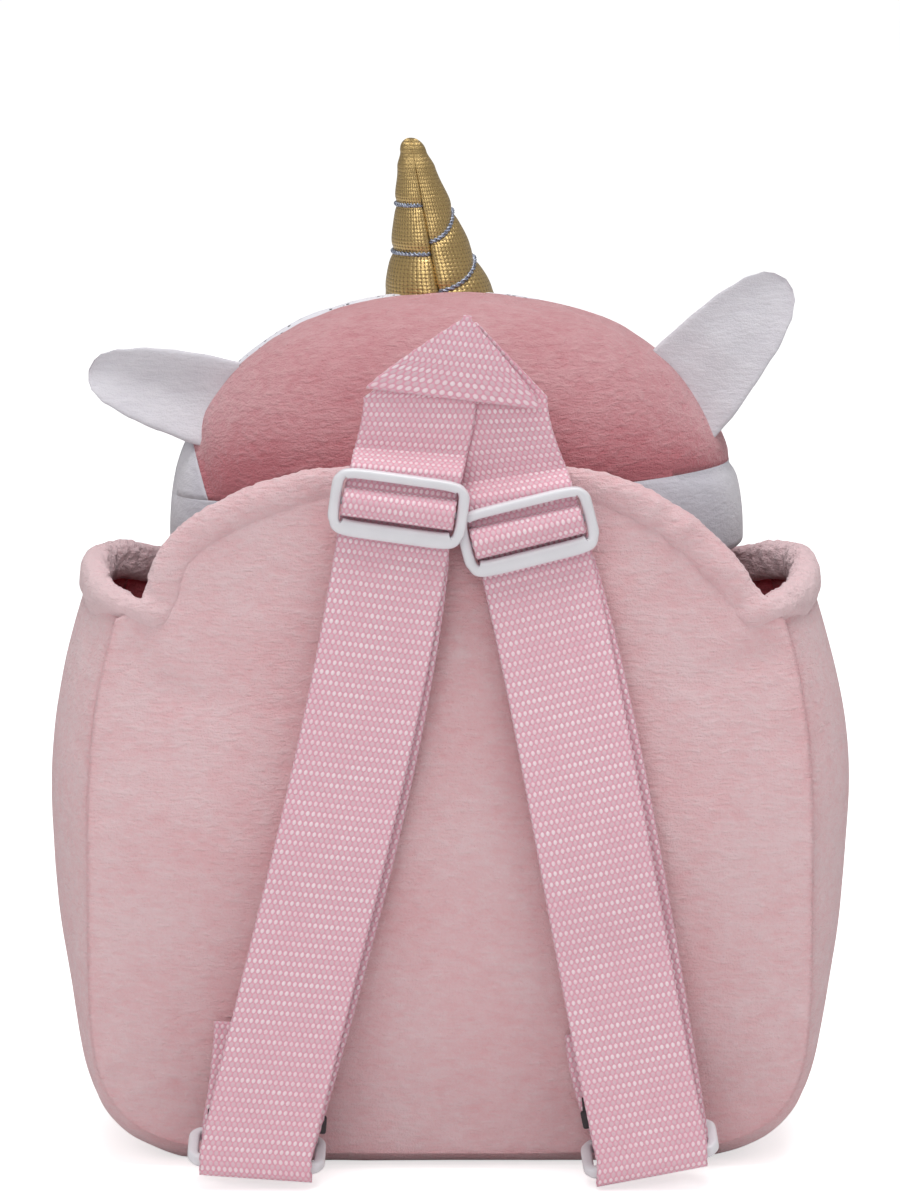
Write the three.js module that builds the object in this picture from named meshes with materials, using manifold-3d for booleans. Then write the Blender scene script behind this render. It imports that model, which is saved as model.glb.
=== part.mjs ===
// A child's plush unicorn backpack, standing upright with its straps towards -Y and its face towards +Y.
// Millimetres, +Z up, origin on the ground under the middle of the bag.
import * as THREE from "three";
import { LoftGeometry } from "three/addons/geometries/LoftGeometry.js";
import { mergeVertices } from "three/addons/utils/BufferGeometryUtils.js";
import Module from "manifold-3d";

const wasm = await Module();
wasm.setup();

// Fabric, webbing and the clearance between neighbouring pieces
const clearance = 0.3;
const plushWall = 3;
const webbingWidth = 30;
const webbingThickness = 1.2;

// Pouch, seen from the strap side
const panelWidth = 195;
const panelBottom = 4;
const widestHeight = 88;
const mouthCornerHeight = 151;
const crestHeight = 188;
const frontRimHeight = 156;
const lowerSquareness = 6;
const upperSquareness = 2.5;
const upperReach = 121;
const sideBulge = 13;
const backBulge = 7;
const frontBulge = 15;
const bulgeSquareness = 2.4;
const pouchDepth = 84;
const seamGap = 0.8;

// Rolled hem round the mouth
const hemRadius = 3.2;
const hemCornerSwell = 1;
const hemSteps = 72;
const hemSides = 8;

// Head
const headWidth = 158;
const headDepth = 84;
const headSide = 1.5;
const headForward = 16;
const headWidestRise = 9;
const headHeight = 75;
const headSquareness = 2.25;
const headSink = 1;
const muzzleBulge = 9.2;
const muzzleHalfWidth = 33;
const muzzleHalfHeight = 20;
const muzzleRise = 21;
const hoodSeamBehindMiddle = 4;
const hoodSeamTurn = 4;
const hoodHemRise = 28;
const hoodHemLean = 2;
const crownPanelRise = 44;
const crownPanelDepth = 34;

// Horn
const hornBaseRadius = 16.5;
const hornTipRadius = 3.6;
const hornLength = 41;
const hornSink = 8;
const hornSide = -1.7;
const hornLean = -9;
const hornAheadOfMiddle = 15;
const hornCrease = 1.6;

// Ears
const earThickness = 8;
const earRoot = 14;
const earWidth = 25;
const earFold = 5;
const earForward = 11;

// Slider and lower ring, in white plastic
const plasticThickness = 3.4;
const plasticBevel = 0.8;
const sliderCorner = 3;
const ringCorner = 2.4;
const sliderSideBar = 3;
const sliderBelow = 9.3;
const sliderAbove = 9.3;
const sliderLowerBar = 4.4;
const sliderUpperBar = 2.7;
const sliderBarRadius = 1;
const sliderBarSetback = 0.6;
const sideSlack = 0.5;
const ringDepth = 17;
const ringBar = 3.4;
const ringRise = 6;
const ringOverhang = 19;

// Straps and hanging loop
const sewnTail = 29;
const barWrap = { innerFrom: -62, innerTo: 190, outerFrom: 192, outerTo: -12 };
const legTipHalf = 2.4;
const legTipBelowApex = 3;
const foldCorner = 1.6;
const strapBow = 1.5;
const strapLead = 1.1;
const loopRise = 23;
const loopHeight = 23;
const loopApexSide = 4.8;
const loopBaseSide = 1;
const loopFoldWidth = 47;
const loopFoldTilt = 7;
const legDrop = 4.5;
const anchorTabTop = 42;
const ringRest = 7;
const keeperWidth = 32;
const keeperHeight = 5;
const keeperThickness = 2;

const radians = THREE.MathUtils.degToRad;
const clamp = THREE.MathUtils.clamp;
const lerp = THREE.MathUtils.lerp;
const panelHalf = panelWidth / 2;
const depthHalf = pouchDepth / 2;
const lowerReach = widestHeight - panelBottom;
const headWidestHeight = frontRimHeight + headWidestRise;
const crownHeight = frontRimHeight + headHeight;
const hornTipHeight = crownHeight + hornLength;
const loopBaseHeight = crestHeight + loopRise;
const loopApexHeight = loopBaseHeight + loopHeight;
const layerPitch = webbingThickness + clearance;
const sliderWidth = webbingWidth + 2 * (sideSlack + sliderSideBar);
const ringTilt = Math.atan2(ringRise, ringDepth);
const ringWrap = Math.hypot(ringBar, plasticThickness) / 2 + webbingThickness / 2 + clearance;

// The two straps. Sides are shares of half the panel, slider heights of the crest's height, leg sides and tab
// shifts of the webbing's width, keeper shifts of the keeper's width and keeper rises of the ring's depth.
const strapTable = [
  {
    name: "left",
    sliderSide: -0.1405,
    sliderUp: 0.973,
    sliderLayer: 1,
    sliderTurn: 8,
    ringSide: -0.533,
    ringLift: 1,
    ringTurn: 4,
    legSide: -0.267,
    tabShift: -0.133,
    keeperShift: 0.04,
    keeperRise: 0.59,
  },
  {
    name: "right",
    sliderSide: 0.2133,
    sliderUp: 0.936,
    sliderLayer: 0,
    sliderTurn: -14,
    ringSide: 0.554,
    ringLift: 1.086,
    ringTurn: -11,
    legSide: 0.367,
    tabShift: -0.067,
    keeperShift: -0.031,
    keeperRise: 0.735,
  },
];
const straps = strapTable.map((row) => ({
  ...row,
  sliderSide: panelHalf * row.sliderSide,
  sliderHeight: crestHeight * row.sliderUp,
  ringSide: panelHalf * row.ringSide,
  ringHeight: ringRest * row.ringLift,
  legSide: webbingWidth * row.legSide,
  tabShift: webbingWidth * row.tabShift,
  keeperShift: keeperWidth * row.keeperShift,
  keeperRise: ringDepth * row.keeperRise,
}));
const ringForward = -depthHalf - ringOverhang;

// Distances outward from the slider's middle plane to the layers of webbing behind it
const behindFrame = -plasticThickness / 2 - 1.5 * clearance - webbingThickness / 2;
const innerLayer = behindFrame - layerPitch;
const tailLayer = innerLayer - layerPitch;
const strapDepth = webbingThickness / 2 - tailLayer;

// Depth of the pouch's back and front seams, as shares of half its depth, by height share
const seamDepths = [
  { up: 0, back: 0.84, front: 0.84 },
  { up: 0.2, back: 0.98, front: 1 },
  { up: 0.45, back: 1, front: 1 },
  { up: 0.78, back: 0.84, front: 0.74 },
  { up: 1, back: 0.8, front: 0.7 },
];

// How far each panel swells beyond its seams, as shares of its full bulge
const panelSwell = [
  { up: 0, share: 0.1 },
  { up: 0.12, share: 0.6 },
  { up: 0.35, share: 1 },
  { up: 0.65, share: 0.85 },
  { up: 1, share: 0.2 },
];

// Bulge of the side band, as shares of the side bulge, from the bottom to the mouth corner
const bandSwell = [
  { up: 0, share: 0.75 },
  { up: 0.04, share: 0.46 },
  { up: 0.2, share: 0.42 },
  { up: 0.45, share: 0.85 },
  { up: 0.7, share: 1 },
  { up: 1, share: 0.78 },
];

// How flat the side band runs across its depth, at the bottom and above a height share
const bandFlatness = { bottom: 6, side: 2.6, upTo: 0.33 };
const bandColumns = 8;

// Edge of the back flap above the mouth corners: height share of the flap, width shares of half the panel
const flapEdge = [
  { up: 0.03, left: 0.85, right: 0.87 },
  { up: 0.15, left: 0.81, right: 0.82 },
  { up: 0.35, left: 0.785, right: 0.765 },
  { up: 0.55, left: 0.735, right: 0.695 },
  { up: 0.75, left: 0.635, right: 0.6 },
  { up: 0.92, left: 0.47, right: 0.47 },
  { up: 1, left: 0.26, right: 0.29 },
];

// Shares of half the panel between which the hem thickens towards the mouth corners
const cornerStart = { share: 0.8, full: 0.93 };

// Gathers that swell the hem: place across as a share of half the panel, spread and swell as shares
const hemGathers = [
  { across: 0.57, spread: 0.035, swell: 0.32 },
  { across: 0.67, spread: 0.03, swell: 0.25 },
  { across: -0.66, spread: 0.04, swell: 0.22 },
];

// Ears: sides of root and tip as shares of half the head, heights as shares of the head's height above the rim,
// and the width as a share of the ear width
const ears = [
  { name: "ear_left", rootSide: -0.835, rootUp: 0.6, tipSide: -1.24, tipUp: 0.707, width: 1, turn: 12 },
  { name: "ear_right", rootSide: 0.81, rootUp: 0.653, tipSide: 1.152, tipUp: 1.067, width: 1.16, turn: -10 },
];

// Outline of an ear from its root to its tip: width and thickness as shares
const earProfile = [
  { along: 0, width: 1, thickness: 0.8 },
  { along: 0.3, width: 0.98, thickness: 1 },
  { along: 0.5, width: 0.9, thickness: 1 },
  { along: 0.68, width: 0.79, thickness: 0.9 },
  { along: 0.86, width: 0.61, thickness: 0.72 },
  { along: 0.96, width: 0.4, thickness: 0.5 },
  { along: 1, width: 0.18, thickness: 0.25 },
];

// Horn radius from base to tip, as shares of the base radius less the tip radius
const hornProfile = [
  { along: 0, swell: 1 },
  { along: 0.16, swell: 0.84 },
  { along: 0.4, swell: 0.54 },
  { along: 0.62, swell: 0.32 },
  { along: 0.84, swell: 0.12 },
  { along: 0.94, swell: 0 },
];
const hornTip = [
  { along: 0.98, share: 0.75 },
  { along: 1, share: 0.3 },
];

// Value of one column of a table at a place between its rows
function follow(rows, place, at, column) {
  const after = rows.findIndex((row) => row[place] >= at);
  if (after === 0) return rows[0][column];
  if (after < 0) return rows[rows.length - 1][column];
  const from = rows[after - 1];
  const to = rows[after];
  const share = (at - from[place]) / (to[place] - from[place]);
  return lerp(from[column], to[column], THREE.MathUtils.smoothstep(share, 0, 1) * 0.5 + share * 0.5);
}

// A curve that leaves and arrives with given slopes
function easeBetween(at, from, to) {
  const span = to.at - from.at;
  const t = (at - from.at) / span;
  const t2 = t * t;
  const t3 = t2 * t;
  return (
    (2 * t3 - 3 * t2 + 1) * from.value +
    (t3 - 2 * t2 + t) * span * from.slope +
    (3 * t2 - 2 * t3) * to.value +
    (t3 - t2) * span * to.slope
  );
}

function positionsOnly(geometry) {
  const bare = new THREE.BufferGeometry();
  bare.setAttribute("position", geometry.getAttribute("position"));
  bare.setIndex(geometry.index);
  return mergeVertices(bare, 1e-3);
}

// A closed geometry as a solid that can be cut and joined
function solidOf(geometry) {
  const merged = positionsOnly(geometry);
  return new wasm.Manifold(
    new wasm.Mesh({
      numProp: 3,
      vertProperties: merged.getAttribute("position").array,
      triVerts: new Uint32Array(merged.index.array),
    }),
  );
}

// A solid as a geometry again
function geometryOf(solid) {
  const mesh = solid.getMesh();
  const geometry = new THREE.BufferGeometry();
  geometry.setAttribute("position", new THREE.BufferAttribute(new Float32Array(mesh.vertProperties), 3));
  geometry.setIndex(new THREE.BufferAttribute(new Uint32Array(mesh.triVerts), 1));
  geometry.computeVertexNormals();
  return geometry;
}

function middleOf(section) {
  const middle = new THREE.Vector3();
  for (const point of section) middle.add(point);
  return middle.divideScalar(section.length);
}

// Whether a section winds the way that makes a loft's faces point out
function windsOutward(section, next) {
  const middle = middleOf(section);
  const onward = middleOf(next).sub(middle);
  const area = new THREE.Vector3();
  section.forEach((point, index) => {
    const following = section[(index + 1) % section.length];
    area.add(point.clone().sub(middle).cross(following.clone().sub(middle)));
  });
  return area.dot(onward) > 0;
}

// A loft through closed sections, turned so that its faces point out
function loft(sections, capped = true) {
  const options = { capStart: capped, capEnd: capped };
  if (windsOutward(sections[0], sections[1])) return new LoftGeometry(sections, options);
  return new LoftGeometry(sections.map((section) => section.slice().reverse()), options);
}

// A round tube along a closed curve
function tubeLoop(curve, radiusAt, steps, sides) {
  const frames = curve.computeFrenetFrames(steps, true);
  const sections = [];
  for (let step = 0; step <= steps; step++) {
    const along = (step % steps) / steps;
    const middle = curve.getPointAt(along);
    const frame = step % steps;
    const radius = radiusAt(middle);
    const section = [];
    for (let side = 0; side < sides; side++) {
      const angle = (side / sides) * 2 * Math.PI;
      section.push(
        middle
          .clone()
          .addScaledVector(frames.normals[frame], radius * Math.cos(angle))
          .addScaledVector(frames.binormals[frame], radius * Math.sin(angle)),
      );
    }
    sections.push(section);
  }
  return loft(sections, false);
}

// The pouch's seam outline, a squarish oval
function outlinePoint(angle) {
  const across = Math.cos(angle);
  const up = Math.sin(angle);
  const squareness = up < 0 ? lowerSquareness : upperSquareness;
  const reach = up < 0 ? lowerReach : upperReach;
  return {
    x: panelHalf * Math.sign(across) * Math.abs(across) ** (2 / squareness),
    z: widestHeight + reach * Math.sign(up) * Math.abs(up) ** (2 / squareness),
  };
}

function halfWidthAt(height) {
  const above = height > widestHeight;
  const squareness = above ? upperSquareness : lowerSquareness;
  const reach = above ? upperReach : lowerReach;
  const share = Math.min(Math.abs(height - widestHeight) / reach, 1);
  return panelHalf * (1 - share ** squareness) ** (1 / squareness);
}

const pouchShare = (height) => (height - panelBottom) / (crestHeight - panelBottom);
const backSeam = (height) => -depthHalf * follow(seamDepths, "up", pouchShare(height), "back");
const frontSeam = (height) => depthHalf * follow(seamDepths, "up", pouchShare(height), "front");
const cornerAngle = Math.asin(((mouthCornerHeight - widestHeight) / upperReach) ** (upperSquareness / 2));

// A sheet through level rows, each from a left to a right edge, with its wall inside
function panel(rows, bulge, seamAt, outward) {
  const columns = 14;
  const sections = rows.map((row) => {
    const swell = bulge * follow(panelSwell, "up", pouchShare(row.height), "share");
    const outer = [];
    for (let column = 0; column <= columns; column++) {
      const across = (2 * column) / columns - 1;
      const x = across < 0 ? across * row.left : across * row.right;
      const y = seamAt(row.height) + outward * swell * (1 - Math.abs(across) ** bulgeSquareness);
      outer.push(new THREE.Vector3(x, y, row.height));
    }
    const inner = outer.map((point) => point.clone().setY(point.y - outward * plushWall));
    return [...outer, ...inner.reverse()];
  });
  return loft(sections);
}

// Level rows of a panel from the bottom seam up to a height
function panelRows(topHeight) {
  const rows = [];
  for (const degrees of [-80, -68, -56, -42, -28, -14]) {
    const point = outlinePoint(radians(degrees));
    rows.push({ height: point.z, left: point.x, right: point.x });
  }
  const steps = 5;
  for (let step = 0; step <= steps; step++) {
    const height = lerp(widestHeight, topHeight, step / steps);
    rows.push({ height, left: halfWidthAt(height), right: halfWidthAt(height) });
  }
  return rows;
}

const flapRows = flapEdge.map((row) => ({
  height: lerp(mouthCornerHeight, crestHeight, row.up),
  left: panelHalf * row.left,
  right: panelHalf * row.right,
}));

// The band that joins the two panels round both sides and the bottom, where it lies flat on the ground
function gussetSection(turn) {
  const angle = -Math.PI / 2 + turn * (Math.PI / 2 + cornerAngle);
  const step = 0.002;
  const at = outlinePoint(angle);
  const before = outlinePoint(angle - step);
  const after = outlinePoint(angle + step);
  const normal = new THREE.Vector2(after.z - before.z, before.x - after.x).normalize();
  const upShare = (at.z - panelBottom) / (mouthCornerHeight - panelBottom);
  const swell = sideBulge * follow(bandSwell, "up", upShare, "share");
  const flatness = lerp(bandFlatness.bottom, bandFlatness.side, clamp(upShare / bandFlatness.upTo, 0, 1));
  const backEnd = backSeam(at.z) + plushWall + seamGap;
  const cornerRise = (frontRimHeight - mouthCornerHeight) * clamp(upShare, 0, 1) ** 3;
  const frontEnd = frontSeam(at.z + cornerRise) - plushWall - seamGap;
  const point = (share, inset, floor) => {
    const outward = swell * (1 - Math.abs(2 * share - 1) ** flatness) - inset;
    const rise = cornerRise * share;
    const z = at.z + normal.y * outward + rise;
    return new THREE.Vector3(at.x + normal.x * outward, lerp(backEnd, frontEnd, share), Math.max(z, floor));
  };
  const outer = [];
  const inner = [];
  for (let column = 0; column <= bandColumns; column++) {
    outer.push(point(column / bandColumns, 0, 0));
    inner.push(point(column / bandColumns, plushWall, plushWall));
  }
  return [...outer, ...inner.reverse()];
}

function gusset() {
  const steps = 36;
  const sections = [];
  for (let step = 0; step <= steps; step++) sections.push(gussetSection((2 * step) / steps - 1));
  return loft(sections);
}

// The middle line of the hem: up over the back flap, round both corners and along the front rim
function hemCurve() {
  const half = plushWall / 2;
  const points = [];
  const rightRows = flapRows.slice().reverse();
  for (const row of rightRows) points.push(new THREE.Vector3(row.right, backSeam(row.height) + half, row.height));
  const corner = gussetSection(1);
  const mirrorSide = (point) => new THREE.Vector3(-point.x, point.y, point.z);
  const cornerPoints = [];
  for (let column = 1; column < bandColumns; column += 2)
    cornerPoints.push(corner[column].clone().setX(corner[column].x - half));
  points.push(...cornerPoints);
  const front = frontSeam(frontRimHeight) - half;
  const swell = frontBulge * follow(panelSwell, "up", pouchShare(frontRimHeight), "share");
  for (const share of [0.82, 0.5, 0, -0.5, -0.82]) {
    const outward = swell * (1 - Math.abs(share) ** bulgeSquareness);
    points.push(new THREE.Vector3(share * halfWidthAt(frontRimHeight), front + outward, frontRimHeight));
  }
  points.push(...cornerPoints.map(mirrorSide).reverse());
  for (const row of flapRows) points.push(new THREE.Vector3(-row.left, backSeam(row.height) + half, row.height));
  return new THREE.CatmullRomCurve3(points, true, "centripetal");
}

function hemRadiusAt(point, extra) {
  const across = point.x / panelHalf;
  const corner = THREE.MathUtils.smoothstep(Math.abs(across), cornerStart.share, cornerStart.full);
  let radius = hemRadius + hemCornerSwell * corner;
  if (point.y < 0)
    for (const gather of hemGathers) {
      const away = (across - gather.across) / gather.spread;
      radius += hemRadius * gather.swell * Math.exp(-away * away);
    }
  return radius + extra;
}

function hem(extra) {
  return tubeLoop(hemCurve(), (point) => hemRadiusAt(point, extra), hemSteps, hemSides);
}

// The head: a dome with a soft muzzle, flat where it sits on the front rim
function head(extra) {
  const columns = 32;
  const seat = frontRimHeight - headSink;
  const halfWidth = headWidth / 2 + extra;
  const halfDepth = headDepth / 2 + extra;
  const sections = [];
  for (const degrees of [-84, -60, -30, 0, 15, 28, 40, 51, 61, 70, 78, 85]) {
    const lift = Math.sin(radians(degrees));
    const reach = lift < 0 ? headWidestHeight - seat : crownHeight - headWidestHeight;
    const z = headWidestHeight + (reach + extra) * Math.sign(lift) * Math.abs(lift) ** (2 / headSquareness);
    const girth = Math.cos(radians(degrees)) ** (2 / headSquareness);
    const section = [];
    for (let column = 0; column < columns; column++) {
      const angle = (column / columns) * 2 * Math.PI;
      const x = halfWidth * girth * Math.cos(angle);
      const away = (x / muzzleHalfWidth) ** 2 + ((z - frontRimHeight - muzzleRise) / muzzleHalfHeight) ** 2;
      const muzzle = Math.sin(angle) > 0 ? muzzleBulge * Math.sin(angle) * Math.exp(-away) : 0;
      const y = halfDepth * girth * Math.sin(angle) + muzzle;
      section.push(new THREE.Vector3(headSide + x, headForward + y, z));
    }
    sections.push(section);
  }
  return loft(sections);
}

// A large block that takes everything behind the hood's seam and above its lower edge
function hoodRegion(extra) {
  const size = 4 * headWidth;
  const box = new THREE.BoxGeometry(size, size, size);
  box.translate(0, extra - size / 2, size / 2 - extra);
  box.rotateZ(radians(hoodSeamTurn));
  box.rotateY(radians(-hoodHemLean));
  box.translate(headSide, headForward - hoodSeamBehindMiddle, frontRimHeight + hoodHemRise);
  return solidOf(box);
}

// A block over the top of the head in front of the hood's seam
function crownRegion(extra) {
  const size = 4 * headWidth;
  const depth = crownPanelDepth + 2 * extra;
  const box = new THREE.BoxGeometry(size, depth, size);
  box.translate(0, depth / 2 + clearance - extra, size / 2 - extra);
  box.rotateZ(radians(hoodSeamTurn));
  box.rotateY(radians(-hoodHemLean));
  box.translate(headSide, headForward - hoodSeamBehindMiddle, frontRimHeight + crownPanelRise);
  return solidOf(box);
}

// An ear: a leaf whose long edges fold up, cut to sit on the head
function ear(shape, headClear) {
  const place = (side, up) =>
    new THREE.Vector3((headWidth / 2) * side, earForward, frontRimHeight + headHeight * up);
  const root = place(shape.rootSide, shape.rootUp);
  const tip = place(shape.tipSide, shape.tipUp);
  const along = tip.clone().sub(root);
  const length = along.length() + earRoot;
  along.normalize();
  root.addScaledVector(along, -earRoot);
  const across = new THREE.Vector3(0, -1, 0).cross(along).normalize();
  across.applyAxisAngle(along, radians(shape.turn));
  const face = along.clone().cross(across).normalize();
  const sides = 14;
  const sections = earProfile.map((row) => {
    const section = [];
    for (let side = 0; side < sides; side++) {
      const angle = (side / sides) * 2 * Math.PI;
      const u = Math.cos(angle);
      const lift = earFold * (u * u - 0.5) + (earThickness / 2) * row.thickness * Math.sin(angle);
      section.push(
        root
          .clone()
          .addScaledVector(along, row.along * length)
          .addScaledVector(across, (earWidth / 2) * shape.width * row.width * u)
          .addScaledVector(face, lift * row.width),
      );
    }
    return section;
  });
  return geometryOf(solidOf(loft(sections)).subtract(headClear));
}

// The horn: a stuffed cone that leans, with a crease down its back seam
function horn(headClear) {
  const base = crownHeight - hornSink;
  const height = hornTipHeight - base;
  const sides = 20;
  const ring = (along, radius) => {
    const section = [];
    for (let side = 0; side < sides; side++) {
      const angle = (side / sides) * 2 * Math.PI - Math.PI / 2;
      const crease = side === 0 ? hornCrease * (1 - along) : 0;
      const reach = radius - crease;
      const x = hornSide + hornLean * along + reach * Math.cos(angle);
      const y = headForward + hornAheadOfMiddle + reach * Math.sin(angle);
      section.push(new THREE.Vector3(x, y, base + height * along));
    }
    return section;
  };
  const sections = hornProfile.map((row) =>
    ring(row.along, hornTipRadius + (hornBaseRadius - hornTipRadius) * row.swell),
  );
  for (const row of hornTip) sections.push(ring(row.along, hornTipRadius * row.share));
  return geometryOf(solidOf(loft(sections)).subtract(headClear));
}

// A rounded plastic frame in the plane across and up, pierced by one window
function plasticFrame(below, above, lowerBar, upperBar, corner) {
  const bevel = plasticBevel;
  const halfWidth = sliderWidth / 2 - bevel;
  const low = -below + bevel;
  const high = above - bevel;
  const shape = new THREE.Shape();
  shape.moveTo(-halfWidth + corner, low);
  shape.lineTo(halfWidth - corner, low);
  shape.quadraticCurveTo(halfWidth, low, halfWidth, low + corner);
  shape.lineTo(halfWidth, high - corner);
  shape.quadraticCurveTo(halfWidth, high, halfWidth - corner, high);
  shape.lineTo(-halfWidth + corner, high);
  shape.quadraticCurveTo(-halfWidth, high, -halfWidth, high - corner);
  shape.lineTo(-halfWidth, low + corner);
  shape.quadraticCurveTo(-halfWidth, low, -halfWidth + corner, low);
  const windowHalf = webbingWidth / 2 + sideSlack + bevel;
  const window = new THREE.Path();
  window.moveTo(-windowHalf, -below + lowerBar - bevel);
  window.lineTo(windowHalf, -below + lowerBar - bevel);
  window.lineTo(windowHalf, above - upperBar + bevel);
  window.lineTo(-windowHalf, above - upperBar + bevel);
  window.closePath();
  shape.holes.push(window);
  const depth = plasticThickness - 2 * bevel;
  const geometry = new THREE.ExtrudeGeometry(shape, {
    depth,
    curveSegments: 4,
    bevelEnabled: true,
    bevelThickness: bevel,
    bevelSize: bevel,
    bevelSegments: 2,
  });
  geometry.translate(0, 0, -depth / 2);
  return geometry;
}

// Slider: a frame with a round bar across it, set back, that the webbing passes over
function sliderGeometry() {
  const frame = plasticFrame(sliderBelow, sliderAbove, sliderLowerBar, sliderUpperBar, sliderCorner);
  const bar = new THREE.CylinderGeometry(sliderBarRadius, sliderBarRadius, sliderWidth - sliderSideBar, 10);
  bar.rotateZ(Math.PI / 2);
  bar.translate(0, 0, -sliderBarSetback);
  return geometryOf(solidOf(frame).add(solidOf(bar)));
}

function ringGeometry() {
  return plasticFrame(ringBar / 2, ringDepth - ringBar / 2, ringBar, ringBar, ringCorner);
}

// Outer face of the back panel at a height and a distance from its middle line
function backSurface(height, side) {
  const swell = backBulge * follow(panelSwell, "up", pouchShare(height), "share");
  return backSeam(height) - swell * (1 - Math.abs(side / halfWidthAt(height)) ** bulgeSquareness);
}

// Forward place of a slider: its webbing lies on the back panel, and one slider lies over the other
function sliderForward(strap) {
  const lowest = Math.min(...straps.map((other) => other.sliderHeight)) - 1.5 * sliderBelow;
  const over = strap.sliderLayer * (plasticThickness + clearance);
  return backSurface(lowest, 0) - 3 * clearance - strapDepth - over;
}

// Forward place of a leg of the loop: it is sewn to the hem's crest, and one leg lies over the other
function legForward(strap) {
  const hemFace = backSeam(crestHeight) + plushWall / 2 - hemRadius;
  return hemFace - clearance - webbingThickness / 2 - strap.sliderLayer * layerPitch;
}

// Middle line of a strap at a height: side, forward place and turn of its weft
function strapPlace(strap, height) {
  const sliderSlope = Math.tan(radians(strap.sliderTurn));
  const sliderAt = sliderForward(strap);
  const span = strap.sliderHeight - strap.ringHeight;
  const ringSlope = strapLead * ((strap.sliderSide - strap.ringSide) / span);
  if (height <= strap.sliderHeight) {
    const from = { at: strap.ringHeight + ringBar, value: strap.ringSide, slope: ringSlope };
    const to = { at: strap.sliderHeight, value: strap.sliderSide, slope: sliderSlope };
    const level = clamp((height - strap.ringHeight) / (span - 1.5 * sliderBelow), 0, 1);
    const straight = lerp(ringForward, sliderAt, level);
    const x = easeBetween(Math.max(height, from.at), from, to);
    const innerEdge = Math.max(Math.abs(x) - webbingWidth / 2, 0);
    const onPanel = backSurface(height, innerEdge) - 3 * clearance - strapDepth;
    return {
      x,
      y: level < 1 ? Math.min(straight, onPanel) : sliderAt,
      turn: lerp(strap.ringTurn, strap.sliderTurn, level),
    };
  }
  const legFrom = { at: strap.sliderHeight, value: strap.sliderSide, slope: sliderSlope };
  const legTo = { at: loopBaseHeight, value: strap.legSide, slope: 0 };
  const legShare = (height - strap.sliderHeight) / (loopBaseHeight - strap.sliderHeight);
  const drop = THREE.MathUtils.smoothstep(height - strap.sliderHeight - sliderAbove, 0, legDrop);
  return {
    x: easeBetween(Math.min(height, loopBaseHeight), legFrom, legTo),
    y: lerp(sliderAt, legForward(strap) + behindFrame, drop),
    turn: lerp(strap.sliderTurn, 0, clamp(legShare, 0, 1)),
  };
}

// A point of a strap from its height, its distance outward and its distance across
function strapPoint(strap, height, outward, across) {
  const place = strapPlace(strap, height);
  const turn = radians(place.turn);
  return new THREE.Vector3(
    place.x + across * Math.cos(turn),
    place.y - outward,
    height - across * Math.sin(turn),
  );
}

// A ribbon of webbing along stations of height and outward distance; each may narrow its edges
function ribbon(stations, place) {
  const sections = stations.map((station, index) => {
    const before = stations[Math.max(index - 1, 0)];
    const after = stations[Math.min(index + 1, stations.length - 1)];
    const run = new THREE.Vector2(after.up - before.up, after.out - before.out).normalize();
    const half = webbingThickness / 2;
    const left = station.left ?? -webbingWidth / 2;
    const right = station.right ?? webbingWidth / 2;
    const face = (sign, across) =>
      place(station.up - sign * half * run.y, station.out + sign * half * run.x, across);
    return [face(1, left), face(1, right), face(-1, right), face(-1, left)];
  });
  return loft(sections);
}

function arcStations(up, out, radius, fromDegrees, toDegrees, steps) {
  const stations = [];
  for (let step = 0; step <= steps; step++) {
    const angle = radians(lerp(fromDegrees, toDegrees, step / steps));
    stations.push({ up: up + radius * Math.cos(angle), out: out + radius * Math.sin(angle) });
  }
  return stations;
}

function lineStations(from, to, steps, bow) {
  const stations = [];
  for (let step = 1; step < steps; step++) {
    const share = step / steps;
    stations.push({
      up: lerp(from.up, to.up, share),
      out: lerp(from.out, to.out, share) + bow * Math.sin(Math.PI * share),
    });
  }
  return stations;
}

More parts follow.
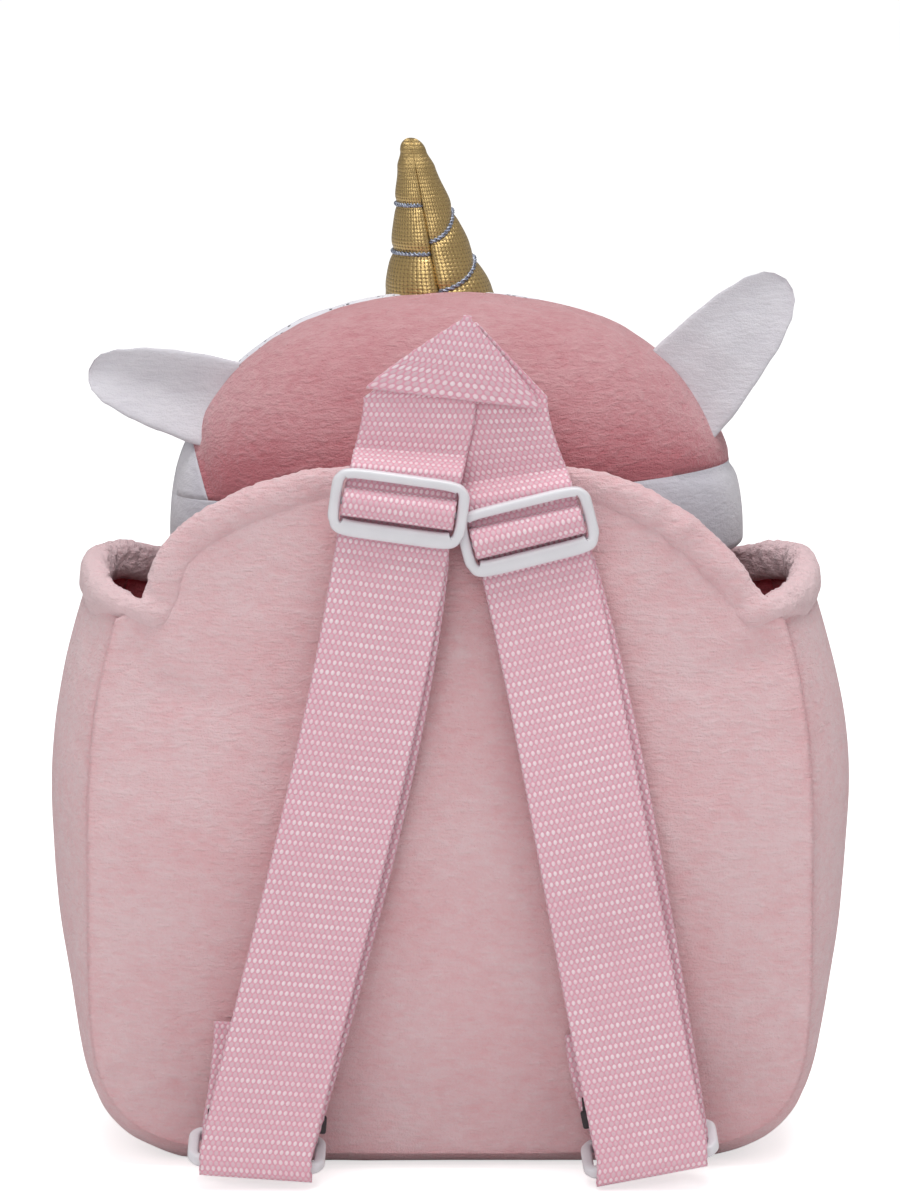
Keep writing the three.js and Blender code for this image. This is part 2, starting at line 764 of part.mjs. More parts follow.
// One strap: sewn tail, round the slider's bar, down, round the ring, up through the slider, to the loop
function strapGeometry(strap) {
  const middle = strap.sliderHeight;
  const barOut = -sliderBarSetback;
  const innerWrap = sliderBarRadius + clearance + webbingThickness / 2;
  const outerWrap = innerWrap + layerPitch;
  const lowerEdge = middle - sliderBelow;
  const windowLow = lowerEdge + sliderLowerBar;
  const windowHigh = middle + sliderAbove - sliderUpperBar;
  const tailEnd = { up: middle - sewnTail, out: tailLayer + clearance };
  const tailTop = { up: lowerEdge + layerPitch, out: tailLayer };
  const innerTop = { up: lowerEdge, out: innerLayer };
  const innerBottom = { up: strap.ringHeight, out: -ringWrap };
  const outerBottom = { up: strap.ringHeight, out: ringWrap };
  const outerTop = { up: lowerEdge - 2 * layerPitch, out: behindFrame + clearance };
  const legTop = { up: loopBaseHeight, out: behindFrame };
  const dropEnd = { up: middle + sliderAbove + legDrop, out: behindFrame };
  const stations = [
    tailEnd,
    ...lineStations(tailEnd, tailTop, 3, 0),
    tailTop,
    { up: middle - innerWrap - 1.5 * layerPitch, out: tailLayer + clearance },
    ...arcStations(middle, barOut, innerWrap, barWrap.innerFrom, barWrap.innerTo, 9),
    { up: middle - 2 * layerPitch, out: behindFrame - clearance },
    { up: windowLow - 2 * clearance, out: innerLayer },
    innerTop,
    ...lineStations(innerTop, innerBottom, 9, strapBow),
    ...arcStations(strap.ringHeight, 0, ringWrap, 270, 90, 8),
    ...lineStations(outerBottom, outerTop, 9, strapBow + layerPitch),
    outerTop,
    { up: lowerEdge, out: behindFrame },
    { up: windowLow - clearance, out: behindFrame },
    ...arcStations(middle, barOut, outerWrap, barWrap.outerFrom, barWrap.outerTo, 8),
    { up: windowHigh - sliderBarRadius, out: behindFrame + clearance },
    { up: windowHigh, out: behindFrame },
    { up: middle + sliderAbove, out: behindFrame },
    ...lineStations({ up: middle + sliderAbove, out: behindFrame }, dropEnd, 3, 0),
    dropEnd,
    legTop,
    ...legPeak(strap, legTop),
  ];
  return ribbon(stations, (up, out, across) => strapPoint(strap, up, out, across));
}

// The leg's top, cut to the loop's slanting folds
function legPeak(strap, legTop) {
  const stations = [];
  const steps = 3;
  const apex = loopApexHeight - legTipBelowApex;
  const tip = loopApexSide - strap.legSide;
  for (let step = 1; step <= steps; step++) {
    const share = step / steps;
    stations.push({
      up: lerp(loopBaseHeight, apex, share),
      out: legTop.out,
      left: lerp(-webbingWidth / 2, tip - legTipHalf, share),
      right: lerp(webbingWidth / 2, tip + legTipHalf, share),
    });
  }
  return stations;
}

// The stretch of webbing that crosses between the legs, folded to a point
function loopFoldGeometry() {
  const tilt = radians(loopFoldTilt);
  const half = loopFoldWidth / 2;
  const shape = new THREE.Shape();
  const baseLeft = new THREE.Vector2(-half * Math.cos(tilt), half * Math.sin(tilt));
  const baseRight = baseLeft.clone().negate();
  const apex = new THREE.Vector2(loopApexSide - loopBaseSide, loopApexHeight - loopBaseHeight);
  const corners = [baseLeft, baseRight, apex];
  corners.forEach((point, index) => {
    const before = corners[(index + 2) % 3];
    const after = corners[(index + 1) % 3];
    const arrive = point.clone().add(before.clone().sub(point).setLength(foldCorner));
    const leave = point.clone().add(after.clone().sub(point).setLength(foldCorner));
    if (index === 0) shape.moveTo(arrive.x, arrive.y);
    else shape.lineTo(arrive.x, arrive.y);
    shape.quadraticCurveTo(point.x, point.y, leave.x, leave.y);
  });
  shape.closePath();
  return new THREE.ExtrudeGeometry(shape, { depth: webbingThickness, curveSegments: 3, bevelEnabled: false });
}

// The far bar of a ring and the ends of the tab's front face
function tabRun(strap) {
  const farBar = ringDepth - ringBar;
  const barUp = strap.ringHeight + farBar * Math.sin(ringTilt);
  const barForward = ringForward + farBar * Math.cos(ringTilt);
  const topSide = strapPlace(strap, anchorTabTop).x + strap.tabShift;
  const innerEdge = Math.abs(topSide) - webbingWidth / 2;
  const panelFace = backSurface(anchorTabTop, innerEdge) - clearance - webbingThickness / 2;
  return {
    barUp,
    barForward,
    topSide,
    top: { up: anchorTabTop, out: -panelFace },
    front: { up: barUp, out: -barForward + ringWrap },
  };
}

// The tab that holds the ring: down the back panel, round the ring's far bar and up again
function tabGeometry(strap) {
  const { barUp, barForward, topSide, top, front } = tabRun(strap);
  const behind = -barForward - ringWrap;
  const stations = [
    top,
    ...lineStations(top, front, 4, 0),
    ...arcStations(barUp, -barForward, ringWrap, 90, 270, 8),
    { up: barUp + ringWrap, out: behind + clearance },
    { up: barUp + 2 * ringWrap, out: behind + 3 * clearance },
  ];
  const turn = radians(strap.ringTurn);
  return ribbon(stations, (up, out, across) => {
    const climb = clamp((up - barUp - ringBar) / (anchorTabTop - barUp - ringBar), 0, 1);
    const side = lerp(strap.ringSide + (up - strap.ringHeight) * Math.tan(turn), topSide, climb);
    return new THREE.Vector3(side + across * Math.cos(turn), -out, up - across * Math.sin(turn));
  });
}

function keeperGeometry() {
  return new THREE.BoxGeometry(keeperWidth, keeperThickness, keeperHeight);
}

// Colours as the photograph shows them
const finishes = {
  pinkPlush: { color: 0xf6bfc2, roughness: 0.95, metalness: 0 },
  hoodPlush: { color: 0xf0a4a8, roughness: 0.95, metalness: 0 },
  whitePlush: { color: 0xf3f2f6, roughness: 0.95, metalness: 0 },
  glitterPlush: { color: 0xefeff4, roughness: 0.6, metalness: 0.1 },
  goldCloth: { color: 0xb98a3c, roughness: 0.35, metalness: 0.8 },
  pinkWebbing: { color: 0xf0a3bd, roughness: 0.7, metalness: 0 },
  whitePlastic: { color: 0xf4f3f6, roughness: 0.3, metalness: 0 },
  blackPlastic: { color: 0x2a2326, roughness: 0.5, metalness: 0 },
};

function meshOf(name, geometry, finish) {
  const mesh = new THREE.Mesh(geometry, new THREE.MeshStandardMaterial(finishes[finish]));
  mesh.name = name;
  return mesh;
}

function pouch() {
  const group = new THREE.Group();
  const hemClear = solidOf(hem(clearance));
  const belowHem = (geometry) => geometryOf(solidOf(geometry).subtract(hemClear));
  const backRows = [...panelRows(mouthCornerHeight), ...flapRows];
  group.add(meshOf("back_panel", belowHem(panel(backRows, backBulge, backSeam, -1)), "pinkPlush"));
  group.add(
    meshOf("front_panel", belowHem(panel(panelRows(frontRimHeight), frontBulge, frontSeam, 1)), "pinkPlush"),
  );
  group.add(meshOf("gusset", belowHem(gusset()), "pinkPlush"));
  group.add(meshOf("mouth_hem", hem(0), "pinkPlush"));
  return group;
}

function unicornHead() {
  const group = new THREE.Group();
  const whole = solidOf(head(0)).subtract(solidOf(hem(clearance)));
  const crownShell = solidOf(head(0)).subtract(solidOf(head(-plushWall)));
  const crownShellClear = solidOf(head(clearance)).subtract(solidOf(head(-plushWall - clearance)));
  const crown = crownShell.intersect(crownRegion(0));
  const front = whole.subtract(hoodRegion(clearance)).subtract(crownShellClear.intersect(crownRegion(clearance)));
  const headClear = solidOf(head(clearance));
  group.add(meshOf("head_back", geometryOf(whole.intersect(hoodRegion(0))), "hoodPlush"));
  group.add(meshOf("head_front", geometryOf(front), "whitePlush"));
  group.add(meshOf("crown_panel", geometryOf(crown), "glitterPlush"));
  for (const shape of ears) group.add(meshOf(shape.name, ear(shape, headClear), "whitePlush"));
  group.add(meshOf("horn", horn(headClear), "goldCloth"));
  return group;
}

function strapSet(strap) {
  const group = new THREE.Group();
  group.add(meshOf("strap_" + strap.name, strapGeometry(strap), "pinkWebbing"));
  const slider = meshOf("slider_" + strap.name, sliderGeometry(), "whitePlastic");
  slider.rotation.set(Math.PI / 2, 0, 0);
  const sliderTurned = new THREE.Group();
  sliderTurned.add(slider);
  sliderTurned.position.set(strap.sliderSide, sliderForward(strap), strap.sliderHeight);
  sliderTurned.rotation.y = radians(strap.sliderTurn);
  group.add(sliderTurned);
  const ring = meshOf("ring_" + strap.name, ringGeometry(), "whitePlastic");
  ring.rotation.x = ringTilt;
  const ringTurned = new THREE.Group();
  ringTurned.add(ring);
  ringTurned.position.set(strap.ringSide, ringForward, strap.ringHeight);
  ringTurned.rotation.y = radians(strap.ringTurn);
  group.add(ringTurned);
  group.add(meshOf("anchor_tab_" + strap.name, tabGeometry(strap), "pinkWebbing"));
  const keeper = meshOf("keeper_" + strap.name, keeperGeometry(), "blackPlastic");
  const keeperUp = strap.ringHeight + strap.keeperRise;
  const { top, front } = tabRun(strap);
  const tabOut = lerp(front.out, top.out, (keeperUp - front.up) / (top.up - front.up));
  const forward = -tabOut - webbingThickness / 2 - 2 * clearance - keeperThickness / 2;
  keeper.position.set(strapPlace(strap, keeperUp).x + strap.keeperShift, forward, keeperUp);
  keeper.rotation.y = radians(strap.ringTurn);
  group.add(keeper);
  return group;
}

function loopFold() {
  const fold = meshOf("hang_loop", loopFoldGeometry(), "pinkWebbing");
  const front = straps[0];
  const forward = legForward(front) - webbingThickness / 2 - clearance;
  fold.rotation.x = Math.PI / 2;
  fold.position.set(loopBaseSide, forward, loopBaseHeight);
  return fold;
}

const backpack = new THREE.Group();
backpack.name = "unicorn_backpack";
backpack.add(pouch());
backpack.add(unicornHead());
for (const strap of straps) backpack.add(strapSet(strap));
backpack.add(loopFold());

export default backpack;
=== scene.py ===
"""Looks of a child's plush unicorn backpack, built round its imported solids."""

import math

import bmesh
import bpy
from bpy.props import FloatProperty, FloatVectorProperty, IntProperty, PointerProperty
from mathutils import Matrix, Vector, noise


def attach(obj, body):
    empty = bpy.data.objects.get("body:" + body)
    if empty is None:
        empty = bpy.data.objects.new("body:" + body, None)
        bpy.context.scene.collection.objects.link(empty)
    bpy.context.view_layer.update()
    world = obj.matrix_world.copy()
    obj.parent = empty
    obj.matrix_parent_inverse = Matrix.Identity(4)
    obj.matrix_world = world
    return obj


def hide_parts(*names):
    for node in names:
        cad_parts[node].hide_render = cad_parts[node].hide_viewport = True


bl_info = {
    "name": "Plush Unicorn Backpack",
    "version": (1, 0, 0),
    "blender": (4, 5, 0),
    "location": "View3D > Sidebar > Backpack",
    "description": "Builds the plush, webbing and plastic of a small unicorn backpack",
    "category": "Object",
}

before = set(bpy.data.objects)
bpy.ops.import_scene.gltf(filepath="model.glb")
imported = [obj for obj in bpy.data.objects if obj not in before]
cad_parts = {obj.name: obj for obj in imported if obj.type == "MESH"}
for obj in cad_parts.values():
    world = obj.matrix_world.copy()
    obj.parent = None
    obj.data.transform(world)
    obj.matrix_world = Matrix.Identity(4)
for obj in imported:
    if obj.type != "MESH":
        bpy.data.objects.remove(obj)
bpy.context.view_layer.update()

MM = 0.001
WEAVE_START = 40

# Sizes of the solids, in millimetres
PANEL_HALF = 97.5
PANEL_BOTTOM = 4
WIDEST = 88
MOUTH_CORNER = 151
CREST = 188
FRONT_RIM = 156
LOWER_SQUARENESS = 6
UPPER_SQUARENESS = 2.5
LOWER_REACH = WIDEST - PANEL_BOTTOM
UPPER_REACH = 121
SIDE_BULGE = 13
BACK_BULGE = 7
FRONT_BULGE = 15
BULGE_SQUARENESS = 2.4
DEPTH_HALF = 42
WALL = 3
CLEARANCE = 0.3
SEWN_GAP = 0.12
CORNER_ROWS = 0.36
HEM_STEPS = 1300
HEM_SIDES = 40
HEM_ABOVE_EDGE = 3.3
HEM_UNDER_STRAPS = 3.2
HEAD_HALF_WIDTH = 79
HEAD_HALF_DEPTH = 42
HEAD_SIDE = 1.5
HEAD_FORWARD = 16
HEAD_WIDEST = FRONT_RIM + 9
CROWN = FRONT_RIM + 75
HEAD_SEAT = FRONT_RIM - 1
HEAD_SQUARENESS = 2.25
HEAD_CLOTH = 2
MUZZLE_HALF_WIDTH = 33
MUZZLE_HALF_HEIGHT = 20
MUZZLE_UP = FRONT_RIM + 21
MUZZLE_OUT = 9.2
HORN_BASE = CROWN - 8
HORN_TOP = CROWN + 41
HORN_BASE_RADIUS = 16.5
HORN_TIP_RADIUS = 3.6
HORN_SIDE = -1.7
HORN_DOTS_ROUND = 62
HORN_CROWDING = 1.25
HORN_ROUNDED = 0.92
HORN_LEAN = -9
HORN_FORWARD = HEAD_FORWARD + 15
EAR_FORWARD = 11
EAR_START = -6
PLASTIC = 3.4
FRAME_SQUARENESS = 7
WEBBING_HALF_WIDTH = 15
WEBBING_HALF_THICKNESS = 0.6
SLIDER_BELOW = 9.3
SLIDER_ABOVE = 9.3
SLIDER_LOWER_BAR = 4.4
SLIDER_UPPER_BAR = 2.7
SLIDER_SIDE_BAR = 3
SLIDER_BAR = 1
SLIDER_SETBACK = 0.6
SIDE_SLACK = 0.5
RING_DEPTH = 17
RING_BAR = 3.4
RING_TILT = math.atan2(6, RING_DEPTH)
RING_FORWARD = -DEPTH_HALF - 19
TAB_TOP = 42
KEEPER_LENGTH = 32
KEEPER_THICKNESS = 2
KEEPER_HEIGHT = 5
FRAY_RADIUS = 0.22
LOOP_BASE = CREST + 23
LOOP_APEX = LOOP_BASE + 23
LOOP_APEX_SIDE = 4.8
LOOP_BASE_SIDE = 1
LOOP_FOLD_WIDTH = 47
LOOP_FOLD_TILT = 7

STRAPS = (
    dict(name="left", slider_side=-13.7, slider_up=182.9, layer=1, slider_turn=8, ring_side=-52,
         ring_up=7, ring_turn=4, leg_side=-8, tab_shift=-4, keeper_shift=1.3, keeper_rise=10),
    dict(name="right", slider_side=20.8, slider_up=176, layer=0, slider_turn=-14, ring_side=54,
         ring_up=7.6, ring_turn=-11, leg_side=11, tab_shift=-2, keeper_shift=-1, keeper_rise=12.5),
)

# Depth of the back and front seams, by height share
SEAM_DEPTHS = (
    dict(up=0, back=0.84, front=0.84),
    dict(up=0.2, back=0.98, front=1),
    dict(up=0.45, back=1, front=1),
    dict(up=0.78, back=0.84, front=0.74),
    dict(up=1, back=0.8, front=0.7),
)

# Swell of each panel beyond its seams, by height share
PANEL_SWELL = (
    dict(up=0, share=0.1),
    dict(up=0.12, share=0.6),
    dict(up=0.35, share=1),
    dict(up=0.65, share=0.85),
    dict(up=1, share=0.2),
)

# Bulge of the side band from the bottom to the mouth corner
BAND_SWELL = (
    dict(up=0, share=0.75),
    dict(up=0.04, share=0.46),
    dict(up=0.2, share=0.42),
    dict(up=0.45, share=0.85),
    dict(up=0.7, share=1),
    dict(up=1, share=0.78),
)

# Half widths of the back flap above the mouth corners
FLAP_EDGE = (
    dict(up=0.03, left=0.85, right=0.87),
    dict(up=0.15, left=0.81, right=0.82),
    dict(up=0.35, left=0.785, right=0.765),
    dict(up=0.55, left=0.735, right=0.695),
    dict(up=0.75, left=0.635, right=0.6),
    dict(up=0.92, left=0.47, right=0.47),
    dict(up=1, left=0.26, right=0.29),
)

# Gathers of the hem on the flap: place across, spread and swell
HEM_GATHERS = (
    dict(across=0.56, spread=0.03, swell=0.3),
    dict(across=0.64, spread=0.028, swell=0.42),
    dict(across=0.75, spread=0.05, swell=0.2),
    dict(across=-0.62, spread=0.05, swell=0.16),
)

# Ears: root and tip in the view plane, width and turn
EARS = (
    dict(name="ear_left", root=(-66, 202.5), tip=(-98, 211), width=25, turn=12, dimple=-1.2),
    dict(name="ear_right", root=(64, 205), tip=(91, 236), width=29, turn=-10, dimple=1.6),
)

EAR_PROFILE = (
    dict(along=0, width=1, thickness=0.8),
    dict(along=0.3, width=0.98, thickness=1),
    dict(along=0.5, width=0.9, thickness=1),
    dict(along=0.68, width=0.79, thickness=0.9),
    dict(along=0.86, width=0.61, thickness=0.72),
    dict(along=0.95, width=0.42, thickness=0.5),
    dict(along=0.985, width=0.24, thickness=0.3),
    dict(along=1, width=0.02, thickness=0.05),
)

HORN_PROFILE = (
    dict(along=0, swell=1),
    dict(along=0.16, swell=0.84),
    dict(along=0.4, swell=0.54),
    dict(along=0.62, swell=0.32),
    dict(along=0.84, swell=0.12),
    dict(along=0.92, swell=0),
)

# Winding of the horn's thread in one turn from the back seam: share of the turn and rise
THREAD_TURN = (
    dict(turn=0, rise=0),
    dict(turn=0.25, rise=7.5),
    dict(turn=0.75, rise=9.5),
    dict(turn=1, rise=9.8),
)


# Heights at which the two windings start
THREAD_STARTS = (231.5, 244.5)


# Small sums shared by the pieces

def clamp(value, low=0.0, high=1.0):
    return max(low, min(high, value))


def lerp(start, end, share):
    return start + (end - start) * share


def smoothstep(value, low, high):
    share = clamp((value - low) / (high - low))
    return share * share * (3 - 2 * share)


def follow(rows, place, at, column):
    """Value of a table's column at a place between its rows."""
    if at <= rows[0][place]:
        return rows[0][column]
    for before, after in zip(rows, rows[1:]):
        if at <= after[place]:
            share = (at - before[place]) / (after[place] - before[place])
            share = 0.5 * share + 0.5 * smoothstep(share, 0, 1)
            return lerp(before[column], after[column], share)
    return rows[-1][column]


def follow_softly(rows, place, at, column, spread=0.07):
    """The table's value eased over a short stretch, so that cloth shows no kinks at its rows."""
    return sum(follow(rows, place, at + step * spread / 2, column) for step in (-2, -1, 0, 1, 2)) / 5


def power(value, exponent):
    return math.copysign(abs(value) ** exponent, value)


def ripple(point, wavelength, seed):
    """Smooth noise from -1 to 1 with features of about one wavelength."""
    return noise.noise(Vector(point) / wavelength + Vector((seed, -seed, 0.5 * seed)))


def catmull(points, cyclic, share):
    """A point on a smooth curve through points, with share from 0 to 1 along their row."""
    count = len(points)
    spans = count if cyclic else count - 1
    position = clamp(share, 0, 1) * spans
    index = min(int(position), spans - 1)
    t = position - index

    def pick(offset):
        if cyclic:
            return points[(index + offset) % count]
        return points[max(0, min(count - 1, index + offset))]

    before, start, end, after = pick(-1), pick(0), pick(1), pick(2)
    return 0.5 * (
        2 * start
        + (end - before) * t
        + (2 * before - 5 * start + 4 * end - after) * t * t
        + (3 * start - before - 3 * end + after) * t * t * t
    )


def evenly(points, cyclic, count):
    """Points at equal distances along the smooth curve through points."""
    fine = [catmull(points, cyclic, step / 1200) for step in range(1201)]
    lengths = [0.0]
    for before, after in zip(fine, fine[1:]):
        lengths.append(lengths[-1] + (after - before).length)
    total = lengths[-1]
    steps = count if cyclic else count - 1
    placed = []
    index = 0
    for step in range(count):
        target = total * step / steps
        while index < len(lengths) - 2 and lengths[index + 1] < target:
            index += 1
        span = lengths[index + 1] - lengths[index]
        share = (target - lengths[index]) / span if span else 0
        placed.append(fine[index].lerp(fine[index + 1], clamp(share)))
    return placed


# Making pieces

def settings():
    return bpy.context.scene.plush_backpack


def grid_mesh(across, along, place, uv=None, wrap_across=False, wrap_along=False):
    """A grid with each point put where place(share across, share along) says, in millimetres."""
    bm = bmesh.new()
    layer = bm.loops.layers.uv.new("weave")
    bmesh.ops.create_grid(bm, x_segments=across, y_segments=along, size=0.5, calc_uvs=True)
    shares = {vertex: (vertex.co.x + 0.5, vertex.co.y + 0.5) for vertex in bm.verts}
    for vertex, (u, v) in shares.items():
        vertex.co = Vector(place(u, v)) * MM
    if uv:
        for face in bm.faces:
            for loop in face.loops:
                loop[layer].uv = uv(*shares[loop.vert])
    if wrap_across or wrap_along:
        bmesh.ops.remove_doubles(bm, verts=bm.verts, dist=1e-6)
    return bm


def face_outward(bm, inside):
    """Turns a sheet's faces away from a point inside it."""
    bm.normal_update()
    middle = Vector(inside) * MM
    lean = sum(face.normal.dot(face.calc_center_median() - middle) * face.calc_area() for face in bm.faces)
    if lean < 0:
        bmesh.ops.reverse_faces(bm, faces=bm.faces)


def add_piece(name, bm, material, replaces=()):
    bm.normal_update()
    mesh = bpy.data.meshes.new(name)
    bm.to_mesh(mesh)
    bm.free()
    mesh.polygons.foreach_set("use_smooth", [True] * len(mesh.polygons))
    piece = bpy.data.objects.new(name, mesh)
    bpy.context.scene.collection.objects.link(piece)
    piece.data.materials.append(material)
    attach(piece, "root")
    if replaces:
        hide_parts(*replaces)
    return piece


def add_wall(piece, thickness, offset=-1.0, inside=None):
    wall = piece.modifiers.new("wall", "SOLIDIFY")
    if inside:
        piece.data.materials.append(inside)
        wall.material_offset = 1
    wall.thickness = thickness * MM
    wall.offset = offset
    wall.use_even_offset = False
    wall.use_quality_normals = True


def mark_seams_and_shade(bm, depth_at):
    """Keeps how near each point is to a seam, with any painted shade, for the pile's colour."""
    layer = bm.verts.layers.float.new("seam")
    for vertex in bm.verts:
        vertex[layer] = depth_at(vertex.co / MM)


# Node helpers

def new_material(name):
    material = bpy.data.materials.new(name)
    material.use_nodes = True
    return material, material.node_tree, material.node_tree.nodes["Principled BSDF"]


def add_node(tree, kind, values=None, **options):
    node = tree.nodes.new(kind)
    for key, value in options.items():
        setattr(node, key, value)
    for key, value in (values or {}).items():
        node.inputs[key].default_value = value
    return node


def calculate(tree, operation, first, second=None, third=None):
    node = tree.nodes.new("ShaderNodeMath")
    node.operation = operation
    for index, value in enumerate((first, second, third)):
        if value is None:
            continue
        if isinstance(value, (int, float)):
            node.inputs[index].default_value = value
        else:
            tree.links.new(value, node.inputs[index])
    return node.outputs[0]


def blend_colours(tree, factor, first, second):
    node = tree.nodes.new("ShaderNodeMix")
    node.data_type = "RGBA"
    for socket, value in ((0, factor), (6, first), (7, second)):
        if isinstance(value, (int, float, tuple)):
            node.inputs[socket].default_value = value
        else:
            tree.links.new(value, node.inputs[socket])
    return node.outputs[2]


def new_group(name, inputs, outputs):
    tree = bpy.data.node_groups.new(name, "ShaderNodeTree")
    for label, kind, value in inputs:
        socket = tree.interface.new_socket(label, in_out="INPUT", socket_type=kind)
        if value is not None:
            socket.default_value = value
    for label, kind in outputs:
        tree.interface.new_socket(label, in_out="OUTPUT", socket_type=kind)
    return tree, tree.nodes.new("NodeGroupInput"), tree.nodes.new("NodeGroupOutput")


def place_group(tree, group, vector, values):
    node = add_node(tree, "ShaderNodeGroup", node_tree=group)
    for key, value in values.items():
        node.inputs[key].default_value = value
    tree.links.new(vector, node.inputs["Vector"])
    return node


def four(colour):
    return (*colour[:3], 1)


def noise_value(tree, vector, scale, detail, roughness):
    node = add_node(tree, "ShaderNodeTexNoise", {"Scale": scale, "Detail": detail, "Roughness": roughness})
    tree.links.new(vector, node.inputs["Vector"])
    return node.outputs["Fac"]


def uneven(tree, vector, scale, detail, roughness):
    """Noise about zero."""
    return calculate(tree, "SUBTRACT", noise_value(tree, vector, scale, detail, roughness), 0.5)


def limit(tree, value):
    node = tree.nodes.new("ShaderNodeClamp")
    tree.links.new(value, node.inputs["Value"])
    return node.outputs[0]


def object_place(tree):
    return tree.nodes.new("ShaderNodeTexCoord").outputs["Object"]


def feed_shader(tree, shader, colour, rough, height, strength, depth):
    """Gives the shader its colour, roughness and a relief of some depth in metres."""
    bump = add_node(tree, "ShaderNodeBump", {"Strength": strength, "Distance": depth})
    tree.links.new(height, bump.inputs["Height"])
    tree.links.new(colour, shader.inputs["Base Color"])
    tree.links.new(rough, shader.inputs["Roughness"])
    tree.links.new(bump.outputs["Normal"], shader.inputs["Normal"])


def stretch(tree, vector, scale):
    node = add_node(tree, "ShaderNodeMapping", {"Scale": scale})
    tree.links.new(vector, node.inputs["Vector"])
    return node.outputs["Vector"]


# Short pile of brushed plush: mottled colour, deeper in the seams and where shade is painted in, with fine
# wrinkles across
def plush_group():
    name = "plush pile"
    if name in bpy.data.node_groups:
        return bpy.data.node_groups[name]
    tree, given, made = new_group(
        name,
        [
            ("Vector", "NodeSocketVector", None),
            ("Colour", "NodeSocketColor", (0.9, 0.6, 0.6, 1)),
            ("Deep", "NodeSocketColor", (0.7, 0.3, 0.3, 1)),
            ("Seam", "NodeSocketFloat", 0.0),
            ("Mottle", "NodeSocketFloat", 0.3),
        ],
        [("Colour", "NodeSocketColor"), ("Height", "NodeSocketFloat"), ("Roughness", "NodeSocketFloat")],
    )
    vector = given.outputs["Vector"]
    broad = uneven(tree, vector, 28, 3, 0.6)
    patches = uneven(tree, stretch(tree, vector, (0.7, 1, 1.3)), 190, 3, 0.65)
    lines = uneven(tree, stretch(tree, vector, (0.3, 0.6, 1)), 900, 3, 0.6)
    pile = uneven(tree, vector, 2100, 3, 0.7)
    mix = calculate(tree, "MULTIPLY_ADD", broad, 1.9, calculate(tree, "MULTIPLY", patches, 1.8))
    mix = calculate(tree, "MULTIPLY_ADD", lines, 2.2, mix)
    mix = calculate(tree, "MULTIPLY_ADD", pile, 1.9, mix)
    mix = calculate(tree, "MULTIPLY_ADD", mix, given.outputs["Mottle"], 0.3)
    # The Seam input deepens the pink at seams and carries painted shade beside the straps and at the hood's
    # lower edge.
    mix = calculate(tree, "ADD", mix, given.outputs["Seam"])
    colour = blend_colours(tree, limit(tree, mix), given.outputs["Colour"], given.outputs["Deep"])
    tree.links.new(colour, made.inputs["Colour"])
    height = calculate(tree, "MULTIPLY_ADD", lines, -1.0, calculate(tree, "MULTIPLY", pile, -0.6))
    height = calculate(tree, "MULTIPLY_ADD", patches, -1.3, height)
    tree.links.new(height, made.inputs["Height"])
    rough = calculate(tree, "MULTIPLY_ADD", pile, 0.3, 0.88)
    tree.links.new(rough, made.inputs["Roughness"])
    return tree


def place_plush(tree, colour, deep, mottle):
    values = {"Colour": four(colour), "Deep": four(deep), "Mottle": mottle}
    pile = place_group(tree, plush_group(), object_place(tree), values)
    # The seam attribute holds seam marks together with painted shade.
    seam = add_node(tree, "ShaderNodeAttribute", attribute_name="seam")
    tree.links.new(seam.outputs["Fac"], pile.inputs["Seam"])
    return pile


def plush_material(name, colour, deep, mottle, relief=0.8):
    if name in bpy.data.materials:
        return bpy.data.materials[name]
    material, tree, shader = new_material(name)
    given = place_plush(tree, colour, deep, mottle).outputs
    feed_shader(tree, shader, given["Colour"], given["Roughness"], given["Height"], relief, 0.0011)
    shader.inputs["Specular IOR Level"].default_value = 0.15
    shader.inputs["Sheen Weight"].default_value = 0.35
    shader.inputs["Sheen Roughness"].default_value = 0.45
    return material


# Rows of small ovals
def ovals_group():
    name = "rows of ovals"
    if name in bpy.data.node_groups:
        return bpy.data.node_groups[name]
    tree, given, made = new_group(
        name,
        [
            ("Vector", "NodeSocketVector", None),
            ("Width", "NodeSocketFloat", 0.4),
            ("Length", "NodeSocketFloat", 0.4),
        ],
        [("Mask", "NodeSocketFloat"), ("Height", "NodeSocketFloat")],
    )
    split = tree.nodes.new("ShaderNodeSeparateXYZ")
    tree.links.new(given.outputs["Vector"], split.inputs[0])
    across = calculate(tree, "SUBTRACT", calculate(tree, "FRACT", split.outputs["X"]), 0.5)
    along = calculate(tree, "SUBTRACT", calculate(tree, "FRACT", split.outputs["Y"]), 0.5)
    across = calculate(tree, "DIVIDE", across, given.outputs["Width"])
    along = calculate(tree, "DIVIDE", along, given.outputs["Length"])
    far = calculate(
        tree, "ADD", calculate(tree, "MULTIPLY", across, across), calculate(tree, "MULTIPLY", along, along)
    )
    height = calculate(tree, "MAXIMUM", calculate(tree, "SUBTRACT", 1, far), 0)
    ramp = add_node(tree, "ShaderNodeMapRange", {"From Min": 0.0, "From Max": 0.6})
    tree.links.new(height, ramp.inputs["Value"])
    tree.links.new(ramp.outputs["Result"], made.inputs["Mask"])
    tree.links.new(calculate(tree, "SQRT", height), made.inputs["Height"])
    return tree


